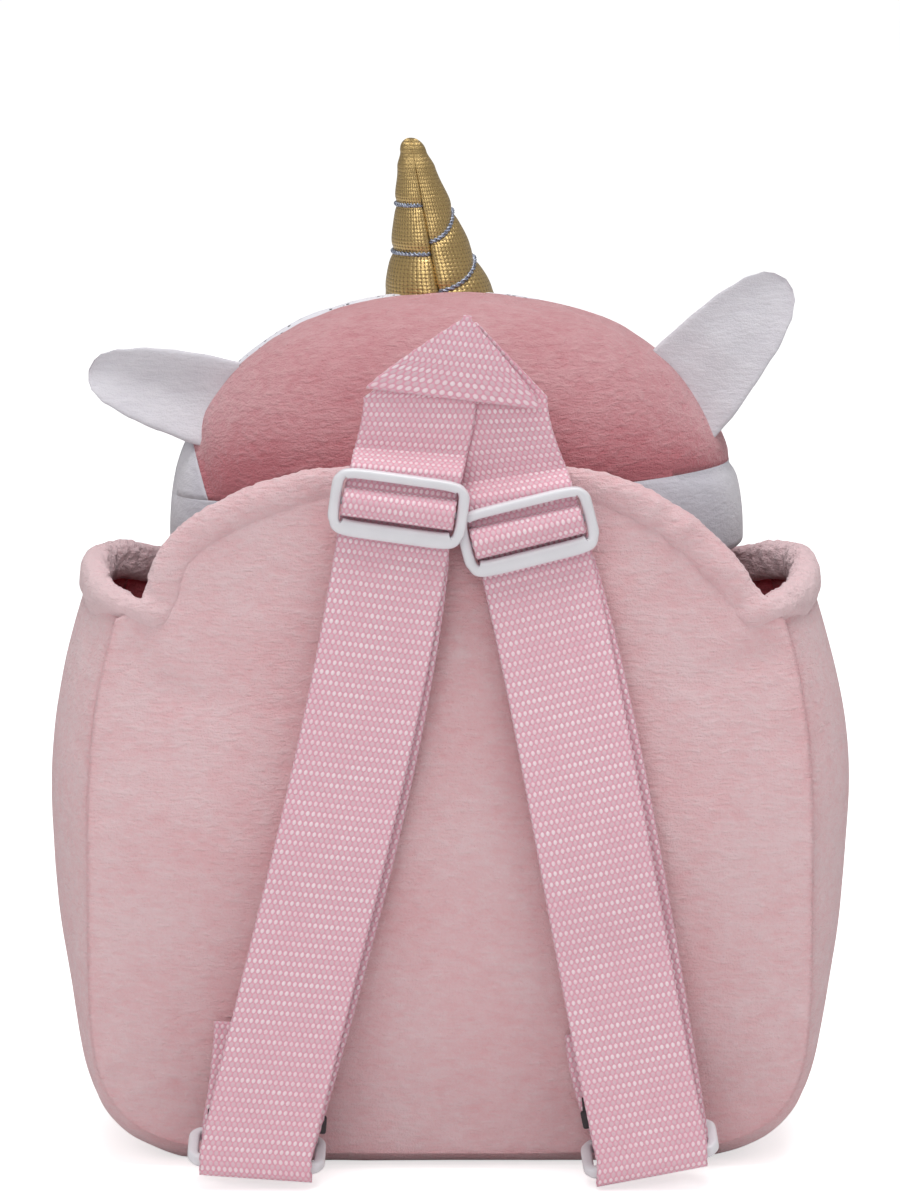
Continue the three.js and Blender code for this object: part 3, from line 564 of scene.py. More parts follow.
def webbing_material():
    name = "pink webbing"
    if name in bpy.data.materials:
        return bpy.data.materials[name]
    chosen = settings()
    material, tree, shader = new_material(name)
    weave = add_node(tree, "ShaderNodeUVMap", uv_map="weave").outputs["UV"]
    moved = add_node(tree, "ShaderNodeMapping", {"Location": (0.5, 0.5, 0)})
    tree.links.new(weave, moved.inputs["Vector"])
    # The first set of ovals are floats coloured with a painted highlight; the second set, half a cell over, are
    # the pale floats on the deep ground.
    highlit_floats = place_group(tree, ovals_group(), weave, {"Width": 0.4, "Length": 0.3})
    dull = place_group(tree, ovals_group(), moved.outputs["Vector"], {"Width": 0.42, "Length": 0.3})
    patchy = noise_value(tree, object_place(tree), 120, 3, 0.7)
    ground = blend_colours(
        tree, dull.outputs["Mask"], four(chosen.webbing_deep_colour), four(chosen.webbing_colour)
    )
    # Painted highlight: the highlit floats are blended towards the highlight colour, more in some patches than
    # others.
    pattern_and_painted_highlight = calculate(tree, "MULTIPLY", highlit_floats.outputs["Mask"], calculate(tree, "MULTIPLY_ADD", patchy, 1.4, 0.1))
    colour = blend_colours(tree, limit(tree, pattern_and_painted_highlight), ground, four(chosen.webbing_highlight_colour))
    height = calculate(tree, "MULTIPLY_ADD", dull.outputs["Height"], 0.5, highlit_floats.outputs["Height"])
    rough = calculate(tree, "MULTIPLY_ADD", highlit_floats.outputs["Mask"], -0.25, 0.75)
    feed_shader(tree, shader, colour, rough, height, 0.6, 0.0005)
    shader.inputs["Specular IOR Level"].default_value = 0.4
    shader.inputs["Sheen Weight"].default_value = 0.15
    return material


def gold_material():
    name = "gold cloth"
    if name in bpy.data.materials:
        return bpy.data.materials[name]
    chosen = settings()
    material, tree, shader = new_material(name)
    weave = add_node(tree, "ShaderNodeUVMap", uv_map="weave").outputs["UV"]
    dots = place_group(tree, ovals_group(), weave, {"Width": 0.6, "Length": 0.6})
    # Painted glints: noise standing for the tilt of each foil dot lets some dots reach the full gold and holds
    # others nearer the dark gap colour.
    tilt = noise_value(tree, weave, 1.3, 2, 0.7)
    pattern_and_painted_highlight = calculate(tree, "MULTIPLY", dots.outputs["Mask"], calculate(tree, "MULTIPLY_ADD", tilt, 0.8, 0.55))
    colour = blend_colours(tree, limit(tree, pattern_and_painted_highlight), four(chosen.gold_gap_colour), four(chosen.gold_colour))
    metal = calculate(tree, "MULTIPLY_ADD", dots.outputs["Mask"], 0.75, 0.15)
    tree.links.new(metal, shader.inputs["Metallic"])
    rough = calculate(tree, "MULTIPLY_ADD", tilt, 0.3, 0.17)
    height = calculate(tree, "MULTIPLY_ADD", tilt, 0.8, dots.outputs["Height"])
    feed_shader(tree, shader, colour, rough, height, 0.55, 0.0003)
    return material


def glitter_material():
    name = "glitter cloth"
    if name in bpy.data.materials:
        return bpy.data.materials[name]
    material, tree, shader = new_material(name)
    pile = place_plush(tree, settings().glitter_colour, (0.62, 0.6, 0.66), 0.2)
    specks = add_node(tree, "ShaderNodeTexVoronoi", {"Scale": 620.0}, feature="F1")
    tree.links.new(object_place(tree), specks.inputs["Vector"])
    near = calculate(tree, "LESS_THAN", specks.outputs["Distance"], 0.3)
    shade = add_node(tree, "ShaderNodeSeparateColor")
    tree.links.new(specks.outputs["Color"], shade.inputs[0])
    speck = calculate(tree, "MULTIPLY", near, calculate(tree, "GREATER_THAN", shade.outputs[0], 0.55))
    foil = blend_colours(tree, shade.outputs[1], (0.06, 0.06, 0.08, 1), (0.85, 0.86, 0.9, 1))
    colour = blend_colours(tree, speck, pile.outputs["Colour"], foil)
    tree.links.new(speck, shader.inputs["Metallic"])
    rough = calculate(tree, "MULTIPLY_ADD", speck, -0.6, 0.85)
    height = calculate(tree, "ADD", pile.outputs["Height"], speck)
    feed_shader(tree, shader, colour, rough, height, 0.5, 0.0004)
    return material


def plastic_material(name, colour, roughness, coat):
    if name in bpy.data.materials:
        return bpy.data.materials[name]
    material, tree, shader = new_material(name)
    place = object_place(tree)
    cloudy = noise_value(tree, place, 140, 3, 0.5)
    fine = noise_value(tree, place, 1500, 2, 0.5)
    patchy = tuple(0.88 * part for part in colour[:3])
    shade = blend_colours(tree, cloudy, four(colour), four(patchy))
    rough = calculate(tree, "MULTIPLY_ADD", fine, 0.12, roughness)
    height = calculate(tree, "MULTIPLY_ADD", cloudy, 2.0, fine)
    feed_shader(tree, shader, shade, rough, height, 0.12, 0.0002)
    shader.inputs["Coat Weight"].default_value = coat
    shader.inputs["Coat Roughness"].default_value = 0.2
    return material


def thread_material(name, light, dark, metallic):
    if name in bpy.data.materials:
        return bpy.data.materials[name]
    material, tree, shader = new_material(name)
    twist = noise_value(tree, object_place(tree), 1500, 2, 0.7)
    ramp = add_node(tree, "ShaderNodeMapRange", {"From Min": 0.35, "From Max": 0.65})
    tree.links.new(twist, ramp.inputs["Value"])
    colour = blend_colours(tree, ramp.outputs["Result"], four(dark), four(light))
    tree.links.new(colour, shader.inputs["Base Color"])
    tree.links.new(calculate(tree, "MULTIPLY_ADD", twist, 0.3, 0.3), shader.inputs["Roughness"])
    shader.inputs["Metallic"].default_value = metallic
    return material


def pink_plush():
    chosen = settings()
    return plush_material("pink plush", chosen.plush_colour, chosen.plush_deep_colour, 0.55)


def hood_plush():
    chosen = settings()
    return plush_material("hood plush", chosen.hood_colour, chosen.hood_deep_colour, 0.4)


# Inside face of the pouch, given a deep dark red that paints in the shade inside the mouth.
def lining_in_painted_shade():
    return plush_material("pouch lining", (0.85, 0.22, 0.26), (0.5, 0.06, 0.08), 0.3)


def white_plush():
    chosen = settings()
    return plush_material("white plush", chosen.white_colour, (0.6, 0.58, 0.64), 0.3, 0.35)


def white_plastic():
    return plastic_material("white plastic", settings().plastic_colour, 0.26, 0.3)


# Shape of the pouch

def pouch_share(height):
    return (height - PANEL_BOTTOM) / (CREST - PANEL_BOTTOM)


def back_seam(height):
    return -DEPTH_HALF * follow_softly(SEAM_DEPTHS, "up", pouch_share(height), "back")


def front_seam(height):
    return DEPTH_HALF * follow_softly(SEAM_DEPTHS, "up", pouch_share(height), "front")


def half_width(height):
    above = height > WIDEST
    squareness = UPPER_SQUARENESS if above else LOWER_SQUARENESS
    share = min(abs(height - WIDEST) / (UPPER_REACH if above else LOWER_REACH), 1)
    return PANEL_HALF * (1 - share**squareness) ** (1 / squareness)


def bottom_edge(x):
    share = min(abs(x) / PANEL_HALF, 1)
    return WIDEST - LOWER_REACH * (1 - share**LOWER_SQUARENESS) ** (1 / LOWER_SQUARENESS)


def outline_point(angle):
    across, up = math.cos(angle), math.sin(angle)
    squareness = LOWER_SQUARENESS if up < 0 else UPPER_SQUARENESS
    reach = LOWER_REACH if up < 0 else UPPER_REACH
    return PANEL_HALF * power(across, 2 / squareness), WIDEST + reach * power(up, 2 / squareness)


def panel_row(share, top):
    """Height of a panel's row, closer together round the lower corners."""
    if share < CORNER_ROWS:
        angle = math.radians(lerp(-84, 0, share / CORNER_ROWS))
        return outline_point(angle)[1]
    return lerp(WIDEST, top, (share - CORNER_ROWS) / (1 - CORNER_ROWS))


def edge_width(height, side):
    if height <= MOUTH_CORNER:
        return half_width(height)
    up = (height - MOUTH_CORNER) / (CREST - MOUTH_CORNER)
    own = PANEL_HALF * follow(FLAP_EDGE, "up", up, side)
    return lerp(min(half_width(height), PANEL_HALF * 0.9), own, smoothstep(up, 0, 0.08))


def seam_distance(x, height, width):
    side = max(width - abs(x), 0)
    low = max(height - bottom_edge(x), 0)
    if side == 0 or low == 0:
        return 0.0
    return 1 / math.sqrt(1 / side**2 + 1 / low**2)


def panel_depth(x, height, width, bulge, seam_at, outward, seed):
    """Depth of a panel's outer face: crowned, drawn in at its seams and softly uneven."""
    chosen = settings()
    swell = bulge * follow_softly(PANEL_SWELL, "up", pouch_share(height), "share")
    across = min(abs(x) / width, 1) if width else 1
    depth = seam_at(height) + outward * swell * (1 - across**BULGE_SQUARENESS)
    away = seam_distance(x, height, width)
    place = (x, 0, height)
    pull = chosen.seam_depth * math.exp(-away / chosen.seam_spread)
    pucker = 0.9 * math.exp(-away / 9) * (1 - math.exp(-away / 1.5)) * ripple(place, 7, seed)
    loose = 0.7 * (ripple(place, 46, seed) - 0.9) + 0.22 * ripple(place, 13, seed + 3)
    settle = 1 - math.exp(-away / 12)
    return depth + outward * (pucker + loose * settle - pull)


def flap_dents(x, height):
    """Soft creases below the hem at the mouth corners of the back."""
    depth = 0.0
    for side, x0, z0, x1, z1 in ((-1, 84, 140.5, 76, 131.5), (-1, 76, 131.5, 58, 126), (1, 86, 141, 66, 134)):
        start, end = Vector((side * x0, z0)), Vector((side * x1, z1))
        point = Vector((x, height))
        along = end - start
        share = clamp((point - start).dot(along) / along.length_squared)
        away = (point - start - along * share).length
        depth += 1.1 * math.exp(-((away / 4.5) ** 2)) * (1 - 0.75 * share)
    return depth


def back_point(u, v):
    height = panel_row(v, CREST)
    across = 2 * u - 1
    width = edge_width(height, "left" if across < 0 else "right")
    x = across * width
    depth = panel_depth(x, height, max(width, 1), BACK_BULGE, back_seam, -1, 1.7)
    return x, depth + flap_dents(x, height), height


def front_point(u, v):
    height = panel_row(v, FRONT_RIM)
    width = half_width(height)
    x = (2 * u - 1) * width
    return x, panel_depth(x, height, width, FRONT_BULGE, front_seam, 1, 5.1), height


def panel_seam_and_strap_shadow_mark(point):
    height = clamp(point.z, PANEL_BOTTOM, CREST)
    away = seam_distance(point.x, height, max(half_width(height), abs(point.x)))
    seam = 0.45 * math.exp(-away / 1.3) if height < MOUTH_CORNER else 0.0
    if point.y > 0:
        return seam
    # Painted shadow: the pink is deepened on the panel beside each strap, where the strap's shadow falls.
    painted_strap_shadow = 0.0
    for strap in STRAPS:
        if height < strap["slider_up"]:
            past = max(abs(point.x - strap_place(strap, height)[0]) - WEBBING_HALF_WIDTH, 0)
            painted_strap_shadow += 0.4 * math.exp(-past / 7)
    return seam + painted_strap_shadow


CORNER_ANGLE = math.asin(((MOUTH_CORNER - WIDEST) / UPPER_REACH) ** (UPPER_SQUARENESS / 2))


def gusset_point(turn, share):
    """A point of the side band: turn runs from one mouth corner (-1) round the bottom to the other (1)."""
    angle = -math.pi / 2 + turn * (math.pi / 2 + CORNER_ANGLE)
    x, z = outline_point(angle)
    before, after = outline_point(angle - 0.02), outline_point(angle + 0.02)
    normal = Vector((after[1] - before[1], before[0] - after[0])).normalized()
    up_share = (z - PANEL_BOTTOM) / (MOUTH_CORNER - PANEL_BOTTOM)
    swell = SIDE_BULGE * follow_softly(BAND_SWELL, "up", up_share, "share")
    flatness = lerp(6, 2.6, clamp(3 * up_share))
    drawn = settings().seam_depth + SEWN_GAP
    back_end = back_seam(z) + WALL + drawn
    rise = (FRONT_RIM - MOUTH_CORNER) * clamp(up_share) ** 3
    front_end = front_seam(z + rise) - WALL - drawn
    depth = lerp(back_end, front_end, share)
    place = (x, depth, z)
    away = min(share, 1 - share) * (front_end - back_end)
    outward = swell * (1 - abs(2 * share - 1) ** flatness) - 0.5 * math.exp(-away / 1.2)
    outward += 0.9 * math.exp(-away / 10) * (1 - math.exp(-away / 2)) * ripple(place, 8, 9.3)
    outward += 0.9 * (ripple(place, 46, 2.2) - 1.8) * (1 - math.exp(-away / 10))
    z_out = z + normal.y * outward + rise * share
    return x + normal.x * outward, depth, max(z_out, 0.05 + 0.25 * clamp(z_out + 3, 0, 1))


def gusset_seam_mark(point):
    edge = WALL + settings().seam_depth
    back = back_seam(clamp(point.z, PANEL_BOTTOM, CREST)) + edge
    front = front_seam(clamp(point.z, PANEL_BOTTOM, CREST)) - edge
    away = max(min(point.y - back, front - point.y), 0)
    return 0.45 * math.exp(-away / 1.3)


def hem_path():
    half = WALL / 2
    points = []
    for row in reversed(FLAP_EDGE):
        height = lerp(MOUTH_CORNER, CREST, row["up"])
        points.append(Vector((PANEL_HALF * row["right"], back_seam(height) + half, height)))
    corner = []
    for share in (0.125, 0.375, 0.625, 0.875):
        x, y, z = gusset_point(1, share)
        corner.append(Vector((x - half, y, z)))
    points.extend(corner)
    swell = FRONT_BULGE * follow(PANEL_SWELL, "up", pouch_share(FRONT_RIM), "share")
    for share in (0.82, 0.5, 0, -0.5, -0.82):
        outward = swell * (1 - abs(share) ** BULGE_SQUARENESS)
        depth = front_seam(FRONT_RIM) - half + outward
        points.append(Vector((share * half_width(FRONT_RIM), depth, FRONT_RIM)))
    points.extend(Vector((-point.x, point.y, point.z)) for point in reversed(corner))
    for row in FLAP_EDGE:
        height = lerp(MOUTH_CORNER, CREST, row["up"])
        points.append(Vector((-PANEL_HALF * row["left"], back_seam(height) + half, height)))
    return points


def hem_frames(count):
    """Places along the hem with their directions into the cloth and out of it."""
    places = evenly(hem_path(), True, count)
    frames = []
    for index, place in enumerate(places):
        tangent = (places[(index + 1) % count] - places[index - 1]).normalized()
        on_flap = 1 - smoothstep(place.y, -31, -20)
        target = Vector((0.35 * place.x, place.y, 128))
        down = (target - place).normalized() * on_flap + Vector((0, 0, -1)) * (1 - on_flap)
        down = (down - tangent * down.dot(tangent)).normalized()
        out = tangent.cross(down).normalized()
        if out.dot(Vector((place.x, 1.6 * place.y, 0))) < 0:
            out = -out
        frames.append((place, down, out))
    return frames


def hem_point(frames, u, v):
    chosen = settings()
    place, down, out = frames[round(v * HEM_STEPS) % HEM_STEPS]
    angle = 2 * math.pi * u
    across = place.x / PANEL_HALF
    corner = smoothstep(abs(across), 0.8, 0.93)
    swell = 1 + 0.22 * corner
    if place.y < 0:
        for gather in HEM_GATHERS:
            away = (across - gather["across"]) / gather["spread"]
            swell += gather["swell"] * math.exp(-away * away)
    half_height = chosen.hem_height / 2 * (1 + 0.1 * corner)
    half_thickness = chosen.hem_thickness / 2 * swell * lerp(0.82, 1, corner)
    shift = half_height - HEM_ABOVE_EDGE - 0.6 * corner
    side, lift = power(math.cos(angle), 0.85), power(math.sin(angle), 0.85)
    spot = place + out * side * half_thickness + down * (shift - lift * half_height)
    spot.z += 1.7 * corner
    fuzz = 0.25 * ripple(spot, 2.6, 4.4) + 0.5 * ripple(spot, 12, 1.1)
    inner = smoothstep(lift - side, 0.2, 1.2)
    fuzz += inner * (0.35 + 0.45 * corner) * ripple(spot, 1.5, 7.7)
    direction = (out * side - down * lift).normalized()
    return spot + direction * fuzz


# Shape of the head

def head_point(u, v):
    angle = 2 * math.pi * u
    slope = math.radians(lerp(-90, 90, v))
    lift = math.sin(slope)
    reach = HEAD_WIDEST - HEAD_SEAT if lift < 0 else CROWN - HEAD_WIDEST
    z = HEAD_WIDEST + reach * power(lift, 2 / HEAD_SQUARENESS)
    girth = max(math.cos(slope), 0) ** (2 / HEAD_SQUARENESS)
    x = HEAD_HALF_WIDTH * girth * math.cos(angle)
    away = (x / MUZZLE_HALF_WIDTH) ** 2 + ((z - MUZZLE_UP) / MUZZLE_HALF_HEIGHT) ** 2
    muzzle = max(MUZZLE_OUT * math.sin(angle) * math.exp(-away), 0)
    y = HEAD_HALF_DEPTH * girth * math.sin(angle) + muzzle
    return Vector((HEAD_SIDE + x, HEAD_FORWARD + y, z))


def turned(vector, about_z, about_y):
    turn = Matrix.Rotation(math.radians(about_y), 3, "Y") @ Matrix.Rotation(math.radians(about_z), 3, "Z")
    return turn @ Vector(vector)


HOOD_SEAM = (Vector((HEAD_SIDE, HEAD_FORWARD + 3, 0)), turned((0, 1, 0), 4, -2))
HOOD_HEM = (Vector((HEAD_SIDE, HEAD_FORWARD - 1, FRONT_RIM + 25.6)), turned((0, 0, 1), 0, -3.4))
HOOD_CORNER = (Vector((-69, 0, FRONT_RIM + 33)), Vector((0.95, 0, 0.3)).normalized())
CROWN_FRONT = (Vector((HEAD_SIDE, HEAD_FORWARD + 30, 0)), turned((0, 1, 0), 4, -2))
CROWN_HEM = (Vector((HEAD_SIDE, 0, FRONT_RIM + 44)), turned((0, 0, 1), 0, -2))


def from_plane(point, plane):
    return (point - plane[0]).dot(plane[1])


def head_seam_distance(point):
    """Distance to the nearest seam of the head, each seam counted only where it runs."""
    hood_front = from_plane(point, HOOD_SEAM)
    hood_low = from_plane(point, HOOD_HEM)
    corner = from_plane(point, HOOD_CORNER)
    crown_front = from_plane(point, CROWN_FRONT)
    crown_low = from_plane(point, CROWN_HEM)
    near = 99.0
    if hood_low > 0 and corner > 0:
        near = min(near, abs(hood_front))
    if hood_front < 0:
        near = min(near, max(abs(hood_low), -corner))
        if hood_low > 0:
            near = min(near, abs(corner))
    if crown_low > 0:
        near = min(near, abs(crown_front))
    if 0 < hood_front and crown_front < 0:
        near = min(near, abs(crown_low))
    return near


def stuffed_head(u, v):
    point = head_point(u, v)
    centre = Vector((HEAD_SIDE, HEAD_FORWARD, HEAD_WIDEST))
    outward = (point - centre).normalized()
    away = head_seam_distance(point)
    groove = 1.7 * math.exp(-away / 2.4)
    pucker = 0.5 * math.exp(-away / 7) * (1 - math.exp(-away / 1.2)) * ripple(point, 6, 3.3)
    lumps = 0.9 * (ripple(point, 34, 6.1) - 0.6) + 0.25 * ripple(point, 12, 8.1)
    pile = 1.4 * smoothstep(point.z, 200, 225)
    return point + outward * (lumps + pile + pucker - groove)


def head_seam_and_hood_shade_mark(point):
    # Painted shade: the hood's pink deepens towards its lower back edge, where it sits in shade behind the flap.
    low = 0.75 * (1 - smoothstep(point.z, 181, 207)) * (1 - smoothstep(point.y, -6, 8))
    return low + 0.5 * math.exp(-head_seam_distance(point) / 1.4)


def head_piece(name, cuts, material, replaces):
    """One cloth piece of the head: the whole head cut by planes, each keeping its chosen side."""
    bm = grid_mesh(176, 104, stuffed_head, wrap_across=True)
    face_outward(bm, (HEAD_SIDE, HEAD_FORWARD, HEAD_WIDEST + 10))
    for plane, keep in cuts:
        bmesh.ops.bisect_plane(
            bm,
            geom=bm.verts[:] + bm.edges[:] + bm.faces[:],
            plane_co=plane[0] * MM,
            plane_no=plane[1],
            clear_outer=keep < 0,
            clear_inner=keep > 0,
            dist=1e-6,
        )
    mark_seams_and_shade(bm, head_seam_and_hood_shade_mark)
    piece = add_piece(name, bm, material, replaces)
    add_wall(piece, HEAD_CLOTH)


# Shape of the ears and horn

def ear_frame(ear):
    root = Vector((ear["root"][0], EAR_FORWARD, ear["root"][1]))
    tip = Vector((ear["tip"][0], EAR_FORWARD, ear["tip"][1]))
    along = (tip - root).normalized()
    across = Vector((0, -1, 0)).cross(along).normalized()
    across.rotate(Matrix.Rotation(math.radians(ear["turn"]), 3, along))
    face = along.cross(across).normalized()
    length = (tip - root).length
    return root, along, across, face, length


def ear_point(ear, u, v):
    root, along, across, face, length = ear_frame(ear)
    share = lerp(0.12, 1, v)
    width = follow(EAR_PROFILE, "along", share, "width")
    thickness = follow(EAR_PROFILE, "along", share, "thickness")
    angle = 2 * math.pi * u
    side = math.cos(angle)
    up = math.sin(angle)
    fold = 5 * (side * side - 0.5)
    dimple = ear["dimple"] * math.exp(-((side / 0.45) ** 2)) * math.exp(-(((share - 0.55) / 0.3) ** 2))
    lift = fold + 4 * thickness * power(up, 0.9) + (dimple if up > 0 else 0)
    spot = root + along * lerp(EAR_START, length, v)
    spot += across * (ear["width"] / 2 * width * side) + face * lift * width
    lumps = 0.45 * ripple(spot, 15, 2.9) + 0.12 * ripple(spot, 6, 1.9)
    rim = math.exp(-((up / 0.25) ** 2))
    return spot + face * lumps * (1 if up > 0 else -1) - across * side * 0.25 * rim * ripple(spot, 9, 5.5)


def horn_radius(along):
    radius = lerp(HORN_TIP_RADIUS, HORN_BASE_RADIUS, follow(HORN_PROFILE, "along", along, "swell"))
    if along > HORN_ROUNDED:
        radius *= math.sqrt(max(1 - ((along - HORN_ROUNDED) / (1 - HORN_ROUNDED)) ** 2, 0))
    return radius


def thread_rise(angle_share):
    return follow(THREAD_TURN, "turn", angle_share, "rise")


def horn_point(u, v):
    """A point of the horn; u runs round from the back seam towards the right."""
    along = 1 - (1 - v) ** HORN_CROWDING
    z = lerp(HORN_BASE, HORN_TOP, along)
    angle = 2 * math.pi * u - math.pi / 2
    radius = horn_radius(along)
    seam = min(u, 1 - u)
    radius -= (1.5 * (1 - along) + 0.5) * math.exp(-seam * 2 * math.pi * radius / 1.4) if radius > 2 else 0
    for start in THREAD_STARTS:
        away = z - (start + thread_rise(u))
        radius -= 0.6 * math.exp(-((away / 1.5) ** 2))
        radius += 0.3 * math.exp(-(((abs(away) - 4.5) / 3) ** 2)) * (1 - along)
    spot = Vector((HORN_SIDE + HORN_LEAN * along, HORN_FORWARD, z))
    radius += 0.3 * ripple((radius * math.cos(angle), radius * math.sin(angle), z), 7, 3.1) * (1 - along)
    return spot + Vector((math.cos(angle), math.sin(angle), 0)) * max(radius, 0.02)


def thread_mesh(start, strand):
    """One ply of the twisted thread that winds once round the horn."""
    def path(share):
        share = clamp(share)
        z = start + thread_rise(share)
        along = (z - HORN_BASE) / (HORN_TOP - HORN_BASE)
        angle = 2 * math.pi * share - math.pi / 2
        radius = horn_radius(along) - 0.35
        seam = min(share, 1 - share) * 2 * math.pi * radius
        radius -= 1.4 * math.exp(-seam / 1.2)
        return Vector((HORN_SIDE + HORN_LEAN * along, HORN_FORWARD, z)) + radius * Vector(
            (math.cos(angle), math.sin(angle), 0)
        )

    def place(u, v):
        at = path(v)
        tangent = (path(v + 0.004) - path(v - 0.004)).normalized()
        out = Vector((at.x - HORN_SIDE, at.y - HORN_FORWARD, 0)).normalized()
        side = tangent.cross(out).normalized()
        twist = 2 * math.pi * (v * 24 + 0.5 * strand)
        middle = at + (out * math.cos(twist) + side * math.sin(twist)) * 0.33
        angle = 2 * math.pi * u
        taper = math.sqrt(clamp(min(v, 1 - v) / 0.01))
        return middle + (out * math.cos(angle) + side * math.sin(angle)) * 0.36 * taper

    return grid_mesh(6, 150, place, wrap_across=True)


# Shape of the straps

LAYER_PITCH = 1.5
BEHIND_FRAME = -PLASTIC / 2 - 1.5 * CLEARANCE - WEBBING_HALF_THICKNESS
INNER_LAYER = BEHIND_FRAME - LAYER_PITCH
TAIL_LAYER = INNER_LAYER - LAYER_PITCH
STRAP_DEPTH = WEBBING_HALF_THICKNESS - TAIL_LAYER
RING_WRAP = math.hypot(RING_BAR, PLASTIC) / 2 + WEBBING_HALF_THICKNESS + CLEARANCE
SEWN_TAIL = 29
STRAP_BOW = 1.5
INNER_STRAY = 2.4


def back_surface(height, side):
    swell = BACK_BULGE * follow_softly(PANEL_SWELL, "up", pouch_share(height), "share")
    across = min(abs(side) / max(half_width(height), 1), 1)
    return back_seam(height) - swell * (1 - across**BULGE_SQUARENESS)


def slider_forward(strap):
    lowest = min(other["slider_up"] for other in STRAPS) - 1.5 * SLIDER_BELOW
    return back_surface(lowest, 0) - 3 * CLEARANCE - STRAP_DEPTH - strap["layer"] * (PLASTIC + CLEARANCE)


def leg_forward(strap):
    hem_face = back_seam(CREST) + WALL / 2 - HEM_UNDER_STRAPS
    return hem_face - CLEARANCE - WEBBING_HALF_THICKNESS - strap["layer"] * LAYER_PITCH


def ease_between(at, start, end):
    span = end[0] - start[0]
    t = (at - start[0]) / span
    t2, t3 = t * t, t * t * t
    return (
        (2 * t3 - 3 * t2 + 1) * start[1]
        + (t3 - 2 * t2 + t) * span * start[2]
        + (3 * t2 - 2 * t3) * end[1]
        + (t3 - t2) * span * end[2]
    )


def strap_place(strap, height):
    """Middle line of a strap at a height: side, forward place and turn."""
    slope = math.tan(math.radians(strap["slider_turn"]))
    forward = slider_forward(strap)
    span = strap["slider_up"] - strap["ring_up"]
    if height <= strap["slider_up"]:
        lean = 1.1 * (strap["slider_side"] - strap["ring_side"]) / span
        start = (strap["ring_up"] + RING_BAR, strap["ring_side"], lean)
        end = (strap["slider_up"], strap["slider_side"], slope)
        level = clamp((height - strap["ring_up"]) / (span - 1.5 * SLIDER_BELOW))
        x = ease_between(max(height, start[0]), start, end)
        inner_edge = max(abs(x) - WEBBING_HALF_WIDTH, 0)
        on_panel = back_surface(height, inner_edge) - 3 * CLEARANCE - STRAP_DEPTH
        y = min(lerp(RING_FORWARD, forward, level), on_panel) if level < 1 else forward
        return x, y, lerp(strap["ring_turn"], strap["slider_turn"], level)
    start = (strap["slider_up"], strap["slider_side"], slope)
    end = (LOOP_BASE, strap["leg_side"], 0)
    share = (height - strap["slider_up"]) / (LOOP_BASE - strap["slider_up"])
    drop = smoothstep(height - strap["slider_up"] - SLIDER_ABOVE, 0, 4.5)
    return (
        ease_between(min(height, LOOP_BASE), start, end),
        lerp(forward, leg_forward(strap) + BEHIND_FRAME, drop),
        lerp(strap["slider_turn"], 0, clamp(share)),
    )


def strap_point(strap, station, across):
    up, out = station[0], station[1]
    across += station[2] if len(station) > 2 else 0
    x, y, turn = strap_place(strap, up)
    turn = math.radians(turn)
    return Vector((x + across * math.cos(turn), y - out, up - across * math.sin(turn)))


def strap_edges(strap, station, left, right):
    return strap_point(strap, station, left), strap_point(strap, station, right)


def arc(up, out, radius, start, end, steps):
    stations = []
    for step in range(steps + 1):
        angle = math.radians(lerp(start, end, step / steps))
        stations.append((up + radius * math.cos(angle), out + radius * math.sin(angle)))
    return stations


def line(start, end, steps, bow=0.0, stray=0.0):
    """Stations of a straight stretch, which may bow outward and stray to the right in its middle."""
    stations = []
    for step in range(1, steps):
        share = step / steps
        swing = math.sin(math.pi * share)
        out = lerp(start[1], end[1], share) + bow * swing
        stations.append((lerp(start[0], end[0], share), out, stray * swing**0.6))
    return stations


def strap_stations(strap):
    """Heights and outward distances along one strap, from its sewn tail to the loop."""
    middle = strap["slider_up"]
    bar_out = -SLIDER_SETBACK
    inner_wrap = SLIDER_BAR + CLEARANCE + WEBBING_HALF_THICKNESS
    outer_wrap = inner_wrap + LAYER_PITCH
    lower_edge = middle - SLIDER_BELOW
    window_low = lower_edge + SLIDER_LOWER_BAR
    window_high = middle + SLIDER_ABOVE - SLIDER_UPPER_BAR
    tail_end = (middle - SEWN_TAIL, TAIL_LAYER + CLEARANCE)
    tail_top = (lower_edge + LAYER_PITCH, TAIL_LAYER)
    inner_top = (lower_edge, INNER_LAYER)
    inner_bottom = (strap["ring_up"], -RING_WRAP)
    outer_bottom = (strap["ring_up"], RING_WRAP)
    outer_top = (lower_edge - 2 * LAYER_PITCH, BEHIND_FRAME + CLEARANCE)
    slider_top = (middle + SLIDER_ABOVE, BEHIND_FRAME)
    drop_end = (middle + SLIDER_ABOVE + 4.5, BEHIND_FRAME)
    leg_top = (LOOP_BASE, BEHIND_FRAME)
    return [
        tail_end,
        *line(tail_end, tail_top, 8),
        tail_top,
        (middle - inner_wrap - 1.5 * LAYER_PITCH, TAIL_LAYER + CLEARANCE),
        *arc(middle, bar_out, inner_wrap, -62, 190, 14),
        (middle - 2 * LAYER_PITCH, BEHIND_FRAME - CLEARANCE),
        (window_low - 2 * CLEARANCE, INNER_LAYER),
        inner_top,
        *line(inner_top, inner_bottom, 60, STRAP_BOW, INNER_STRAY),
        *arc(strap["ring_up"], 0, RING_WRAP, 270, 90, 14),
        *line(outer_bottom, outer_top, 60, STRAP_BOW + LAYER_PITCH),
        outer_top,
        (lower_edge, BEHIND_FRAME),
        (window_low - CLEARANCE, BEHIND_FRAME),
        *arc(middle, bar_out, outer_wrap, 192, -12, 14),
        (window_high - 1, BEHIND_FRAME + CLEARANCE),
        (window_high, BEHIND_FRAME),
        slider_top,
        *line(slider_top, drop_end, 4),
        drop_end,
        *line(drop_end, leg_top, 8),
        leg_top,
    ]


WEFT_PITCH = 2.72
WEBBING_COLUMNS = 30


